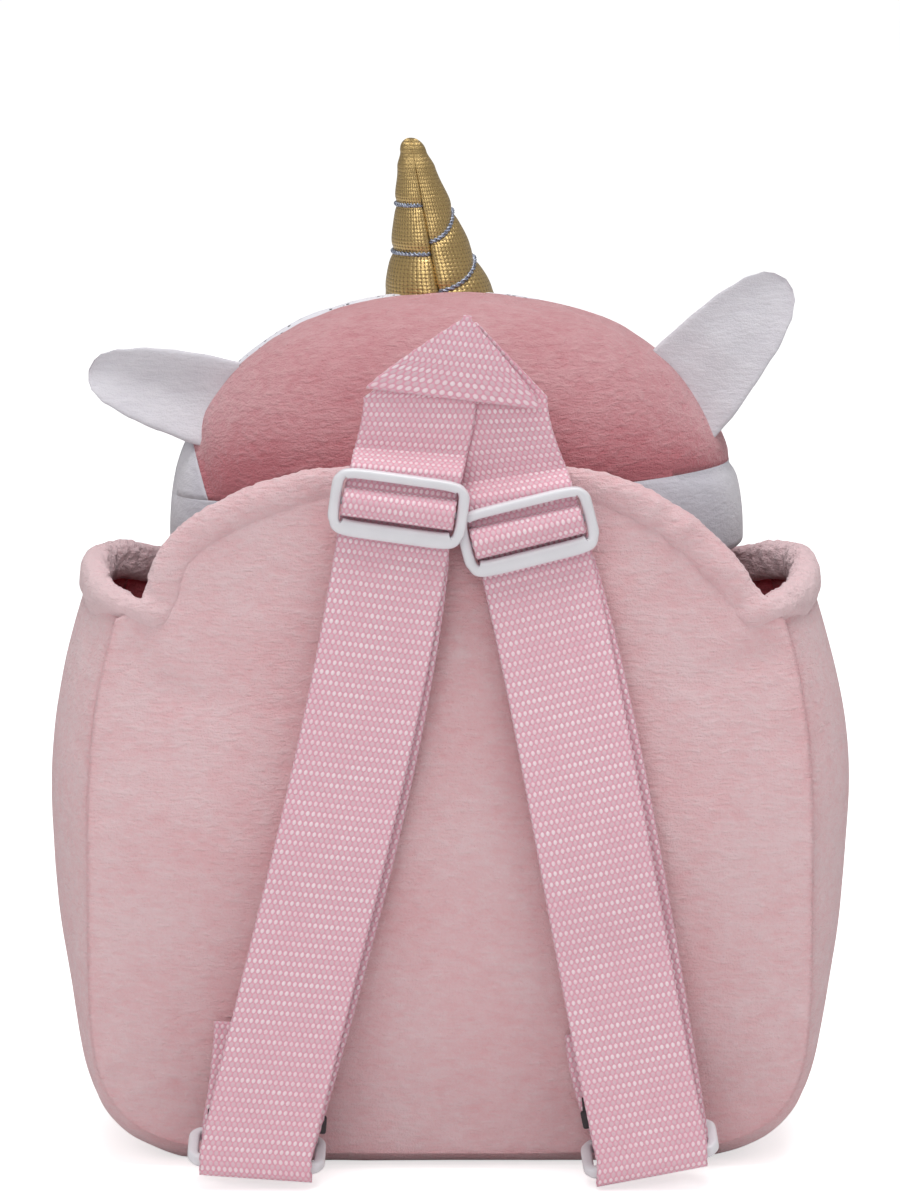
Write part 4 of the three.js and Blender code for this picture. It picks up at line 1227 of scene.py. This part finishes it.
def ribbon_mesh(points_at, count):
    """A ribbon of webbing. points_at gives the two edge points of a station; the weave follows its length."""
    edges = [points_at(index) for index in range(count)]
    lengths = [0.0]
    for before, after in zip(edges, edges[1:]):
        lengths.append(lengths[-1] + ((after[0] + after[1]) / 2 - (before[0] + before[1]) / 2).length)
    ribs = settings().webbing_ribs

    def place(u, v):
        left, right = edges[round(v * (count - 1))]
        scallop = 0.12 * math.sin(2 * math.pi * lengths[round(v * (count - 1))] / WEFT_PITCH)
        outward = (right - left).normalized() * scallop
        spot = left.lerp(right, u)
        return spot + outward * ((u > 0.99) - (u < 0.01))

    def uv(u, v):
        index = round(v * (count - 1))
        left, right = edges[index]
        width = (right - left).length
        across = (u - 0.5) * ribs * min(width / 2 / WEBBING_HALF_WIDTH, 1)
        return across + WEAVE_START, lengths[index] / WEFT_PITCH

    return grid_mesh(WEBBING_COLUMNS, count - 1, place, uv)


def refine(stations, gap=2.6):
    """More stations between those given, on a smooth curve, so that bends read as cloth."""
    points = [Vector((*station, 0)[:3]) for station in stations]
    fine = []
    for index, (before, after) in enumerate(zip(points, points[1:])):
        steps = max(2, math.ceil((after - before).length / gap))
        for step in range(steps):
            fine.append(catmull(points, False, (index + step / steps) / (len(points) - 1)))
    fine.append(points[-1])
    return fine


def strap_mesh(strap):
    stations = refine(strap_stations(strap))
    peak = 14
    base = len(stations)
    tip = LOOP_APEX_SIDE - strap["leg_side"]

    def points_at(index):
        if index < base:
            return strap_edges(strap, stations[index], -WEBBING_HALF_WIDTH, WEBBING_HALF_WIDTH)
        share = (index - base + 1) / peak
        station = (lerp(LOOP_BASE, LOOP_APEX - 3, share), BEHIND_FRAME)
        left = lerp(-WEBBING_HALF_WIDTH, tip - 2.4, share)
        right = lerp(WEBBING_HALF_WIDTH, tip + 2.4, share)
        return strap_edges(strap, station, left, right)

    return ribbon_mesh(points_at, base + peak)


def tab_line(strap):
    far_bar = RING_DEPTH - RING_BAR
    bar_up = strap["ring_up"] + far_bar * math.sin(RING_TILT)
    bar_forward = RING_FORWARD + far_bar * math.cos(RING_TILT)
    top_side = strap_place(strap, TAB_TOP)[0] + strap["tab_shift"]
    panel_face = back_surface(TAB_TOP, abs(top_side) - WEBBING_HALF_WIDTH) - CLEARANCE - WEBBING_HALF_THICKNESS
    return bar_up, bar_forward, top_side, (TAB_TOP, -panel_face), (bar_up, -bar_forward + RING_WRAP)


def tab_mesh(strap):
    bar_up, bar_forward, top_side, top, front = tab_line(strap)
    behind = -bar_forward - RING_WRAP
    stations = refine(
        [
            top,
            *line(top, front, 10),
            *arc(bar_up, -bar_forward, RING_WRAP, 90, 270, 12),
            (bar_up + RING_WRAP, behind + CLEARANCE),
            (bar_up + 2 * RING_WRAP, behind + 3 * CLEARANCE),
        ],
        1.5,
    )
    turn = math.radians(strap["ring_turn"])

    def spot(up, out, across):
        climb = clamp((up - bar_up - RING_BAR) / (TAB_TOP - bar_up - RING_BAR))
        side = lerp(strap["ring_side"] + (up - strap["ring_up"]) * math.tan(turn), top_side, climb)
        return Vector((side + across * math.cos(turn), -out, up - across * math.sin(turn)))

    def points_at(index):
        up, out, _ = stations[index]
        return spot(up, out, -WEBBING_HALF_WIDTH), spot(up, out, WEBBING_HALF_WIDTH)

    return ribbon_mesh(points_at, len(stations))


def loop_mesh():
    """The crosswise stretch between the legs, folded to a point."""
    tilt = math.radians(LOOP_FOLD_TILT)
    half = LOOP_FOLD_WIDTH / 2
    left = Vector((-half * math.cos(tilt), 0, half * math.sin(tilt)))
    apex = Vector((LOOP_APEX_SIDE - LOOP_BASE_SIDE, 0, LOOP_APEX - LOOP_BASE))
    forward = leg_forward(STRAPS[0]) - CLEARANCE - 2 * WEBBING_HALF_THICKNESS
    origin = Vector((LOOP_BASE_SIDE, forward, LOOP_BASE))
    count = 36

    def points_at(index):
        share = index / (count - 1)
        side = left * max(1 - share**1.15, 0.045)
        bulge = Vector((0, -0.5 * math.sin(math.pi * share), 0))
        middle = origin + apex * (share * 0.97) + bulge
        return middle + side, middle - side

    return ribbon_mesh(points_at, count)


# Shape of the plastic parts

def frame_ring(half_width_mid, low, high, low_bar, high_bar, side_bar, to_world):
    """A rounded plastic frame of one closed bar whose width changes round it."""
    middle_up = (low + high) / 2
    half_up = (high - low) / 2

    def place(u, v):
        angle = 2 * math.pi * v
        across, up = math.cos(angle), math.sin(angle)
        x = half_width_mid * power(across, 2 / FRAME_SQUARENESS)
        z = middle_up + half_up * power(up, 2 / FRAME_SQUARENESS)
        flat = smoothstep(abs(up), 0.45, 0.85)
        bar = lerp(side_bar, high_bar if up > 0 else low_bar, flat)
        outward = Vector((power(across, 5), power(up, 5))).normalized()
        section = 2 * math.pi * u
        side = power(math.cos(section), 0.62)
        thick = power(math.sin(section), 0.62)
        return to_world(
            x + outward.x * side * bar / 2, z + outward.y * side * bar / 2, thick * PLASTIC / 2
        )

    return grid_mesh(20, 160, place, wrap_across=True, wrap_along=True)


def slider_to_world(strap):
    turn = math.radians(strap["slider_turn"])
    origin = Vector((strap["slider_side"], slider_forward(strap), strap["slider_up"]))
    right = Vector((math.cos(turn), 0, -math.sin(turn)))
    up = Vector((math.sin(turn), 0, math.cos(turn)))
    return lambda x, z, out: origin + right * x + up * z + Vector((0, -out, 0))


def ring_to_world(strap):
    turn = Matrix.Rotation(math.radians(strap["ring_turn"]), 3, "Y")
    origin = Vector((strap["ring_side"], RING_FORWARD, strap["ring_up"]))
    along = turn @ Vector((0, math.cos(RING_TILT), math.sin(RING_TILT)))
    thick = turn @ Vector((0, -math.sin(RING_TILT), math.cos(RING_TILT)))
    right = turn @ Vector((1, 0, 0))
    return lambda x, z, out: origin + right * x + along * z + thick * out


def close_faces(bm):
    bmesh.ops.remove_doubles(bm, verts=bm.verts, dist=1e-6)
    bmesh.ops.recalc_face_normals(bm, faces=bm.faces)


def slider_mesh(strap):
    window_half = WEBBING_HALF_WIDTH + SIDE_SLACK
    to_world = slider_to_world(strap)
    bm = frame_ring(
        window_half + SLIDER_SIDE_BAR / 2,
        -SLIDER_BELOW + SLIDER_LOWER_BAR / 2,
        SLIDER_ABOVE - SLIDER_UPPER_BAR / 2,
        SLIDER_LOWER_BAR,
        SLIDER_UPPER_BAR,
        SLIDER_SIDE_BAR,
        to_world,
    )
    close_faces(bm)
    radius, length = SLIDER_BAR * MM, (2 * window_half + 2) * MM
    bar = bmesh.ops.create_cone(bm, cap_ends=True, segments=16, radius1=radius, radius2=radius, depth=length)
    turn = Matrix.Rotation(math.radians(90 + strap["slider_turn"]), 4, "Y")
    middle = Matrix.Translation(to_world(0, 0, -SLIDER_SETBACK) * MM)
    bmesh.ops.transform(bm, matrix=middle @ turn, verts=bar["verts"])
    return bm


def keeper_mesh(strap):
    """A small flat keeper with rounded edges and a short pin at one end."""
    up = strap["ring_up"] + strap["keeper_rise"]
    _, _, _, top, front = tab_line(strap)
    tab_out = lerp(front[1], top[1], (up - front[0]) / (top[0] - front[0]))
    forward = -tab_out - WEBBING_HALF_THICKNESS - 2 * CLEARANCE - 1
    bm = bmesh.new()
    made = bmesh.ops.create_cube(bm, size=1)
    bmesh.ops.scale(bm, vec=(KEEPER_LENGTH * MM, KEEPER_THICKNESS * MM, KEEPER_HEIGHT * MM), verts=made["verts"])
    bmesh.ops.bevel(bm, geom=bm.edges[:], offset=0.7 * MM, segments=3, profile=0.5, material=-1, affect="EDGES")
    side = 1 if strap["name"] == "left" else -1
    pin = bmesh.ops.create_cone(
        bm, cap_ends=True, segments=12, radius1=0.9 * MM, radius2=0.25 * MM, depth=5 * MM
    )
    bmesh.ops.translate(bm, vec=(side * 14.6 * MM, 0, 3.6 * MM), verts=pin["verts"])
    turn = Matrix.Rotation(math.radians(strap["ring_turn"]), 4, "Y")
    x = strap_place(strap, up)[0] + strap["keeper_shift"]
    middle = Matrix.Translation(Vector((x, forward, up)) * MM)
    bmesh.ops.transform(bm, matrix=middle @ turn, verts=bm.verts)
    return bm


# Frayed threads at the cut ends of the webbing
def fray_mesh(strap):
    bm = bmesh.new()
    tail = strap_stations(strap)[0]
    count = settings().fray_count
    for index in range(count):
        across = lerp(-14.6, 14.6, index / (count - 1))
        start = strap_point(strap, tail, across) + Vector((0, 0, 0.8))
        wander = ripple((index * 3.1, 0, 0), 1, 2.5)
        length = 2.2 + 1.6 * ripple((index * 7.3, 4, 0), 1, 1.5)
        drift = Vector((0.9 * wander, -0.35 - 0.3 * abs(wander), -length))

        def place(u, v, start=start, drift=drift, wander=wander):
            bend = Vector((0.5 * wander * math.sin(3 * v), 0.2 * math.sin(2.2 * v), 0))
            angle = 2 * math.pi * u
            radius = FRAY_RADIUS * (1 - 0.7 * v)
            return start + drift * v + bend + Vector((radius * math.cos(angle), radius * math.sin(angle), 0))

        strand = grid_mesh(5, 8, place, wrap_across=True)
        bmesh.ops.holes_fill(strand, edges=strand.edges, sides=8)
        part = bpy.data.meshes.new("strand")
        strand.to_mesh(part)
        strand.free()
        bm.from_mesh(part)
        bpy.data.meshes.remove(part)
    bmesh.ops.recalc_face_normals(bm, faces=bm.faces)
    return bm


class BackpackSettings(bpy.types.PropertyGroup):
    """Sizes and colours of the backpack."""

    plush_colour: FloatVectorProperty(
        name="Pouch Colour", subtype="COLOR", default=(0.88, 0.635, 0.66),
        description="Pale pink of the pouch's pile",
    )
    plush_deep_colour: FloatVectorProperty(
        name="Pouch Deep Colour", subtype="COLOR", default=(0.85, 0.47, 0.5),
        description="Pink between the pile",
    )
    hood_colour: FloatVectorProperty(
        name="Hood Colour", subtype="COLOR", default=(0.69, 0.38, 0.405),
        description="Deeper pink of the hood",
    )
    hood_deep_colour: FloatVectorProperty(
        name="Hood Deep Colour", subtype="COLOR", default=(0.56, 0.18, 0.21),
        description="Pink between the hood's pile",
    )
    white_colour: FloatVectorProperty(
        name="White Plush Colour", subtype="COLOR", default=(0.74, 0.72, 0.765),
        description="White of the face and ears",
    )
    glitter_colour: FloatVectorProperty(
        name="Glitter Cloth Colour", subtype="COLOR", default=(0.86, 0.85, 0.9),
        description="Ground of the crown band",
    )
    gold_colour: FloatVectorProperty(
        name="Gold Colour", subtype="COLOR", default=(0.66, 0.47, 0.2),
        description="Foil dots of the horn",
    )
    gold_gap_colour: FloatVectorProperty(
        name="Gold Gap Colour", subtype="COLOR", default=(0.2, 0.12, 0.04),
        description="Net between the foil dots",
    )
    webbing_colour: FloatVectorProperty(
        name="Webbing Colour", subtype="COLOR", default=(0.76, 0.52, 0.58),
        description="Raised threads of the webbing",
    )
    # Colour of the painted highlight on the webbing's floats.
    webbing_highlight_colour: FloatVectorProperty(
        name="Webbing Highlight Colour", subtype="COLOR", default=(0.95, 0.79, 0.83),
        description="Painted highlight on the raised threads of the webbing",
    )
    webbing_deep_colour: FloatVectorProperty(
        name="Webbing Deep Colour", subtype="COLOR", default=(0.8, 0.38, 0.48),
        description="Hollows of the weave",
    )
    plastic_colour: FloatVectorProperty(
        name="Plastic Colour", subtype="COLOR", default=(0.82, 0.81, 0.85),
        description="White of sliders and rings",
    )
    seam_depth: FloatProperty(
        name="Seam Depth", default=0.7, min=0, max=5,
        description="How far seams draw the cloth in, in millimetres",
    )
    seam_spread: FloatProperty(
        name="Seam Spread", default=3.0, min=1,
        description="How far from a seam the cloth is drawn in, in millimetres",
    )
    hem_height: FloatProperty(
        name="Hem Height", description="Height of the folded hem, in millimetres", default=10.0, min=4
    )
    hem_thickness: FloatProperty(
        name="Hem Thickness", description="Thickness of the folded hem, in millimetres", default=6.8, min=3
    )
    webbing_ribs: IntProperty(name="Webbing Ribs", description="Ribs across the webbing", default=20, min=5)
    fray_count: IntProperty(name="Frayed Threads", description="Loose threads at a cut end", default=22, min=2)


class StageSettings(bpy.types.PropertyGroup):
    """Camera and light of the stage."""

    camera_height: FloatProperty(
        name="Camera Angle", subtype="ANGLE", default=math.radians(10),
        description="Angle of the camera above the horizon",
    )
    camera_distance: FloatProperty(
        name="Camera Distance", description="Distance of the camera", subtype="DISTANCE", default=2.6, min=0.5
    )
    picture_height: FloatProperty(
        name="Picture Height", subtype="DISTANCE", default=0.3256,
        description="Height that the picture takes in",
    )
    picture_middle: FloatProperty(
        name="Picture Middle", subtype="DISTANCE", default=0.1496,
        description="Height at the middle of the picture",
    )


class BACKPACK_OT_stage(bpy.types.Operator):
    """Makes the floor, the lights and the camera"""

    bl_idname = "backpack.stage"
    bl_label = "Stage"

    def execute(self, context):
        chosen = context.scene.plush_backpack_stage
        add_camera(chosen)
        add_floor()
        add_lights()
        return {"FINISHED"}


def add_camera(chosen):
    camera = bpy.data.objects.new("camera", bpy.data.cameras.new("camera"))
    bpy.context.scene.collection.objects.link(camera)
    camera.data.lens = 36 * chosen.camera_distance / chosen.picture_height
    camera.data.sensor_width = 36
    camera.data.clip_end = 100
    target = Vector((0, 0, chosen.picture_middle))
    back = Vector((0, -math.cos(chosen.camera_height), math.sin(chosen.camera_height)))
    camera.location = target + back * chosen.camera_distance
    camera.rotation_euler = (-back).to_track_quat("-Z", "Y").to_euler()
    bpy.context.scene.camera = camera


def add_floor():
    bm = bmesh.new()
    bmesh.ops.create_grid(bm, x_segments=8, y_segments=8, size=6)
    mesh = bpy.data.meshes.new("floor")
    bm.to_mesh(mesh)
    bm.free()
    floor = bpy.data.objects.new("floor", mesh)
    bpy.context.scene.collection.objects.link(floor)
    material, tree, shader = new_material("pale floor")
    cloudy = noise_value(tree, object_place(tree), 3, 2, 0.5)
    colour = blend_colours(tree, cloudy, (0.93, 0.93, 0.93, 1), (0.95, 0.95, 0.95, 1))
    tree.links.new(colour, shader.inputs["Base Color"])
    shader.inputs["Roughness"].default_value = 0.9
    shader.inputs["Specular IOR Level"].default_value = 0.1
    shader.inputs["Emission Color"].default_value = (1, 1, 1, 1)
    path = tree.nodes.new("ShaderNodeLightPath")
    glow = calculate(tree, "MULTIPLY", path.outputs["Is Camera Ray"], 0.62)
    tree.links.new(glow, shader.inputs["Emission Strength"])
    mesh.materials.append(material)


def add_area(name, place, size, power_watts):
    data = bpy.data.lights.new(name, "AREA")
    data.shape = "DISK"
    data.size = size
    data.energy = power_watts
    light = bpy.data.objects.new(name, data)
    bpy.context.scene.collection.objects.link(light)
    light.location = place
    aim = Vector((0, 0, 0.13)) - Vector(place)
    light.rotation_euler = aim.to_track_quat("-Z", "Y").to_euler()


def add_lights():
    add_area("overhead", (0.1, -0.2, 1.8), 1.4, 20)
    add_area("front", (-0.5, -2.2, 1.6), 1.6, 14)
    add_studio_air()
    bpy.context.scene.view_settings.view_transform = "Standard"


def add_studio_air():
    """Even white air: bright behind the part, softer where it lights the part."""
    world = bpy.data.worlds.new("studio")
    world.use_nodes = True
    tree = world.node_tree
    path = tree.nodes.new("ShaderNodeLightPath")
    strength = calculate(tree, "MULTIPLY_ADD", path.outputs["Is Camera Ray"], 0.64, 0.36)
    tree.links.new(strength, tree.nodes["Background"].inputs["Strength"])
    tree.nodes["Background"].inputs["Color"].default_value = (1, 1, 1, 1)
    bpy.context.scene.world = world


class BACKPACK_OT_pouch(bpy.types.Operator):
    """Makes the pouch's panels and its side band"""

    bl_idname = "backpack.pouch"
    bl_label = "Pouch"

    def execute(self, context):
        shapes = {
            "back_panel": (grid_mesh(150, 150, back_point), panel_seam_and_strap_shadow_mark),
            "front_panel": (grid_mesh(130, 110, front_point), panel_seam_and_strap_shadow_mark),
            "gusset": (grid_mesh(60, 300, lambda u, v: gusset_point(2 * v - 1, u)), gusset_seam_mark),
        }
        for node, (bm, seam_mark) in shapes.items():
            face_outward(bm, (0, 0, WIDEST))
            mark_seams_and_shade(bm, seam_mark)
            piece = add_piece(node + "_plush", bm, pink_plush(), (node,))
            add_wall(piece, WALL, inside=lining_in_painted_shade())
        return {"FINISHED"}


class BACKPACK_OT_hem(bpy.types.Operator):
    """Makes the soft folded hem round the mouth"""

    bl_idname = "backpack.hem"
    bl_label = "Mouth Hem"

    def execute(self, context):
        frames = hem_frames(HEM_STEPS)
        bm = grid_mesh(
            HEM_SIDES, HEM_STEPS, lambda u, v: hem_point(frames, u, v), wrap_across=True, wrap_along=True
        )
        bmesh.ops.recalc_face_normals(bm, faces=bm.faces)
        mark_seams_and_shade(bm, lambda point: -0.4 * smoothstep(abs(point.x), 76, 88))
        piece = add_piece("mouth_hem_plush", bm, pink_plush(), ("mouth_hem",))
        return {"FINISHED"}


class BACKPACK_OT_head(bpy.types.Operator):
    """Makes the stuffed head from its hood, crown band and face"""

    bl_idname = "backpack.head"
    bl_label = "Head"

    def execute(self, context):
        hood = [(HOOD_SEAM, -1), (HOOD_HEM, 1), (HOOD_CORNER, 1)]
        head_piece("hood", hood, hood_plush(), ("head_back",))
        crown = [(HOOD_SEAM, 1), (CROWN_FRONT, -1), (CROWN_HEM, 1)]
        head_piece("crown_band", crown, glitter_material(), ("crown_panel",))
        white_pieces = (
            ("face", [(CROWN_FRONT, 1)], ("head_front",)),
            ("cheeks", [(CROWN_FRONT, -1), (HOOD_SEAM, 1), (CROWN_HEM, -1)], ()),
            ("nape", [(HOOD_SEAM, -1), (HOOD_HEM, -1)], ()),
            ("nape_corner", [(HOOD_SEAM, -1), (HOOD_HEM, 1), (HOOD_CORNER, -1)], ()),
        )
        for name, cuts, nodes in white_pieces:
            head_piece(name, cuts, white_plush(), nodes)
        return {"FINISHED"}


class BACKPACK_OT_ears(bpy.types.Operator):
    """Makes the two stuffed ears"""

    bl_idname = "backpack.ears"
    bl_label = "Ears"

    def execute(self, context):
        for ear in EARS:
            bm = grid_mesh(64, 60, lambda u, v, ear=ear: ear_point(ear, u, v), wrap_across=True)
            close_faces(bm)
            mark_seams_and_shade(bm, lambda point: 0.0)
            piece = add_piece(ear["name"] + "_plush", bm, white_plush(), (ear["name"],))
        return {"FINISHED"}


class BACKPACK_OT_horn(bpy.types.Operator):
    """Makes the gold horn and the silver thread wound round it"""

    bl_idname = "backpack.horn"
    bl_label = "Horn"

    def execute(self, context):
        def uv(u, v):
            along = 1 - (1 - v) ** HORN_CROWDING
            return u * HORN_DOTS_ROUND + WEAVE_START, along * (HORN_TOP - HORN_BASE)

        bm = grid_mesh(120, 110, horn_point, uv, wrap_across=True)
        bmesh.ops.holes_fill(bm, edges=bm.edges, sides=130)
        bmesh.ops.recalc_face_normals(bm, faces=bm.faces)
        piece = add_piece("horn_cloth", bm, gold_material(), ("horn",))
        silver = thread_material("silver thread", (0.55, 0.6, 0.72), (0.1, 0.11, 0.16), 0.6)
        for index, start in enumerate(THREAD_STARTS):
            for strand in range(2):
                bm = thread_mesh(start, strand)
                close_faces(bm)
                add_piece(f"horn_thread_{index + 1}_{strand + 1}", bm, silver)
        return {"FINISHED"}


def add_webbing(node, bm):
    piece = add_piece(node + "_webbing", bm, webbing_material(), (node,))
    add_wall(piece, 2 * WEBBING_HALF_THICKNESS, 0)


class BACKPACK_OT_straps(bpy.types.Operator):
    """Makes the webbing straps, their tabs, the hanging loop and the frayed ends"""

    bl_idname = "backpack.straps"
    bl_label = "Straps"

    def execute(self, context):
        loose = thread_material("webbing threads", (0.93, 0.66, 0.76), (0.8, 0.35, 0.5), 0.0)
        for strap in STRAPS:
            name = strap["name"]
            add_webbing("strap_" + name, strap_mesh(strap))
            add_webbing("anchor_tab_" + name, tab_mesh(strap))
            add_piece("fray_" + name, fray_mesh(strap), loose, ())
        add_webbing("hang_loop", loop_mesh())
        return {"FINISHED"}


class BACKPACK_OT_plastic(bpy.types.Operator):
    """Makes the sliders, lower rings and keepers"""

    bl_idname = "backpack.plastic"
    bl_label = "Plastic Parts"

    def execute(self, context):
        black = plastic_material("black plastic", (0.03, 0.022, 0.026), 0.45, 0.0)
        white = white_plastic()
        for strap in STRAPS:
            name = strap["name"]
            slider = slider_mesh(strap)
            add_piece("slider_" + name + "_gloss", slider, white, ("slider_" + name,))
            half = WEBBING_HALF_WIDTH + SIDE_SLACK + SLIDER_SIDE_BAR / 2
            ring = frame_ring(
                half, 0, RING_DEPTH - RING_BAR, RING_BAR, RING_BAR, SLIDER_SIDE_BAR, ring_to_world(strap)
            )
            close_faces(ring)
            add_piece("ring_" + name + "_gloss", ring, white, ("ring_" + name,))
            keeper = keeper_mesh(strap)
            add_piece("keeper_" + name + "_black", keeper, black, ("keeper_" + name,))
        return {"FINISHED"}


OPERATORS = (
    BACKPACK_OT_stage,
    BACKPACK_OT_pouch,
    BACKPACK_OT_hem,
    BACKPACK_OT_head,
    BACKPACK_OT_ears,
    BACKPACK_OT_horn,
    BACKPACK_OT_straps,
    BACKPACK_OT_plastic,
)


class BACKPACK_PT_panel(bpy.types.Panel):
    """Lists the backpack's pieces in the sidebar"""

    bl_idname = "BACKPACK_PT_panel"
    bl_label = "Plush Backpack"
    bl_space_type = "VIEW_3D"
    bl_region_type = "UI"
    bl_category = "Backpack"

    def draw(self, context):
        for operator in OPERATORS:
            self.layout.operator(operator.bl_idname)


CLASSES = (BackpackSettings, StageSettings, *OPERATORS, BACKPACK_PT_panel)


def register():
    for item in CLASSES:
        bpy.utils.register_class(item)
    bpy.types.Scene.plush_backpack = PointerProperty(type=BackpackSettings)
    bpy.types.Scene.plush_backpack_stage = PointerProperty(type=StageSettings)


def unregister():
    del bpy.types.Scene.plush_backpack_stage
    del bpy.types.Scene.plush_backpack
    for item in reversed(CLASSES):
        bpy.utils.unregister_class(item)


def main():
    register()
    for name in ("stage", "pouch", "hem", "head", "ears", "horn", "straps", "plastic"):
        getattr(bpy.ops.backpack, name)()
    bpy.context.view_layer.update()


if __name__ == "__main__":
    main()
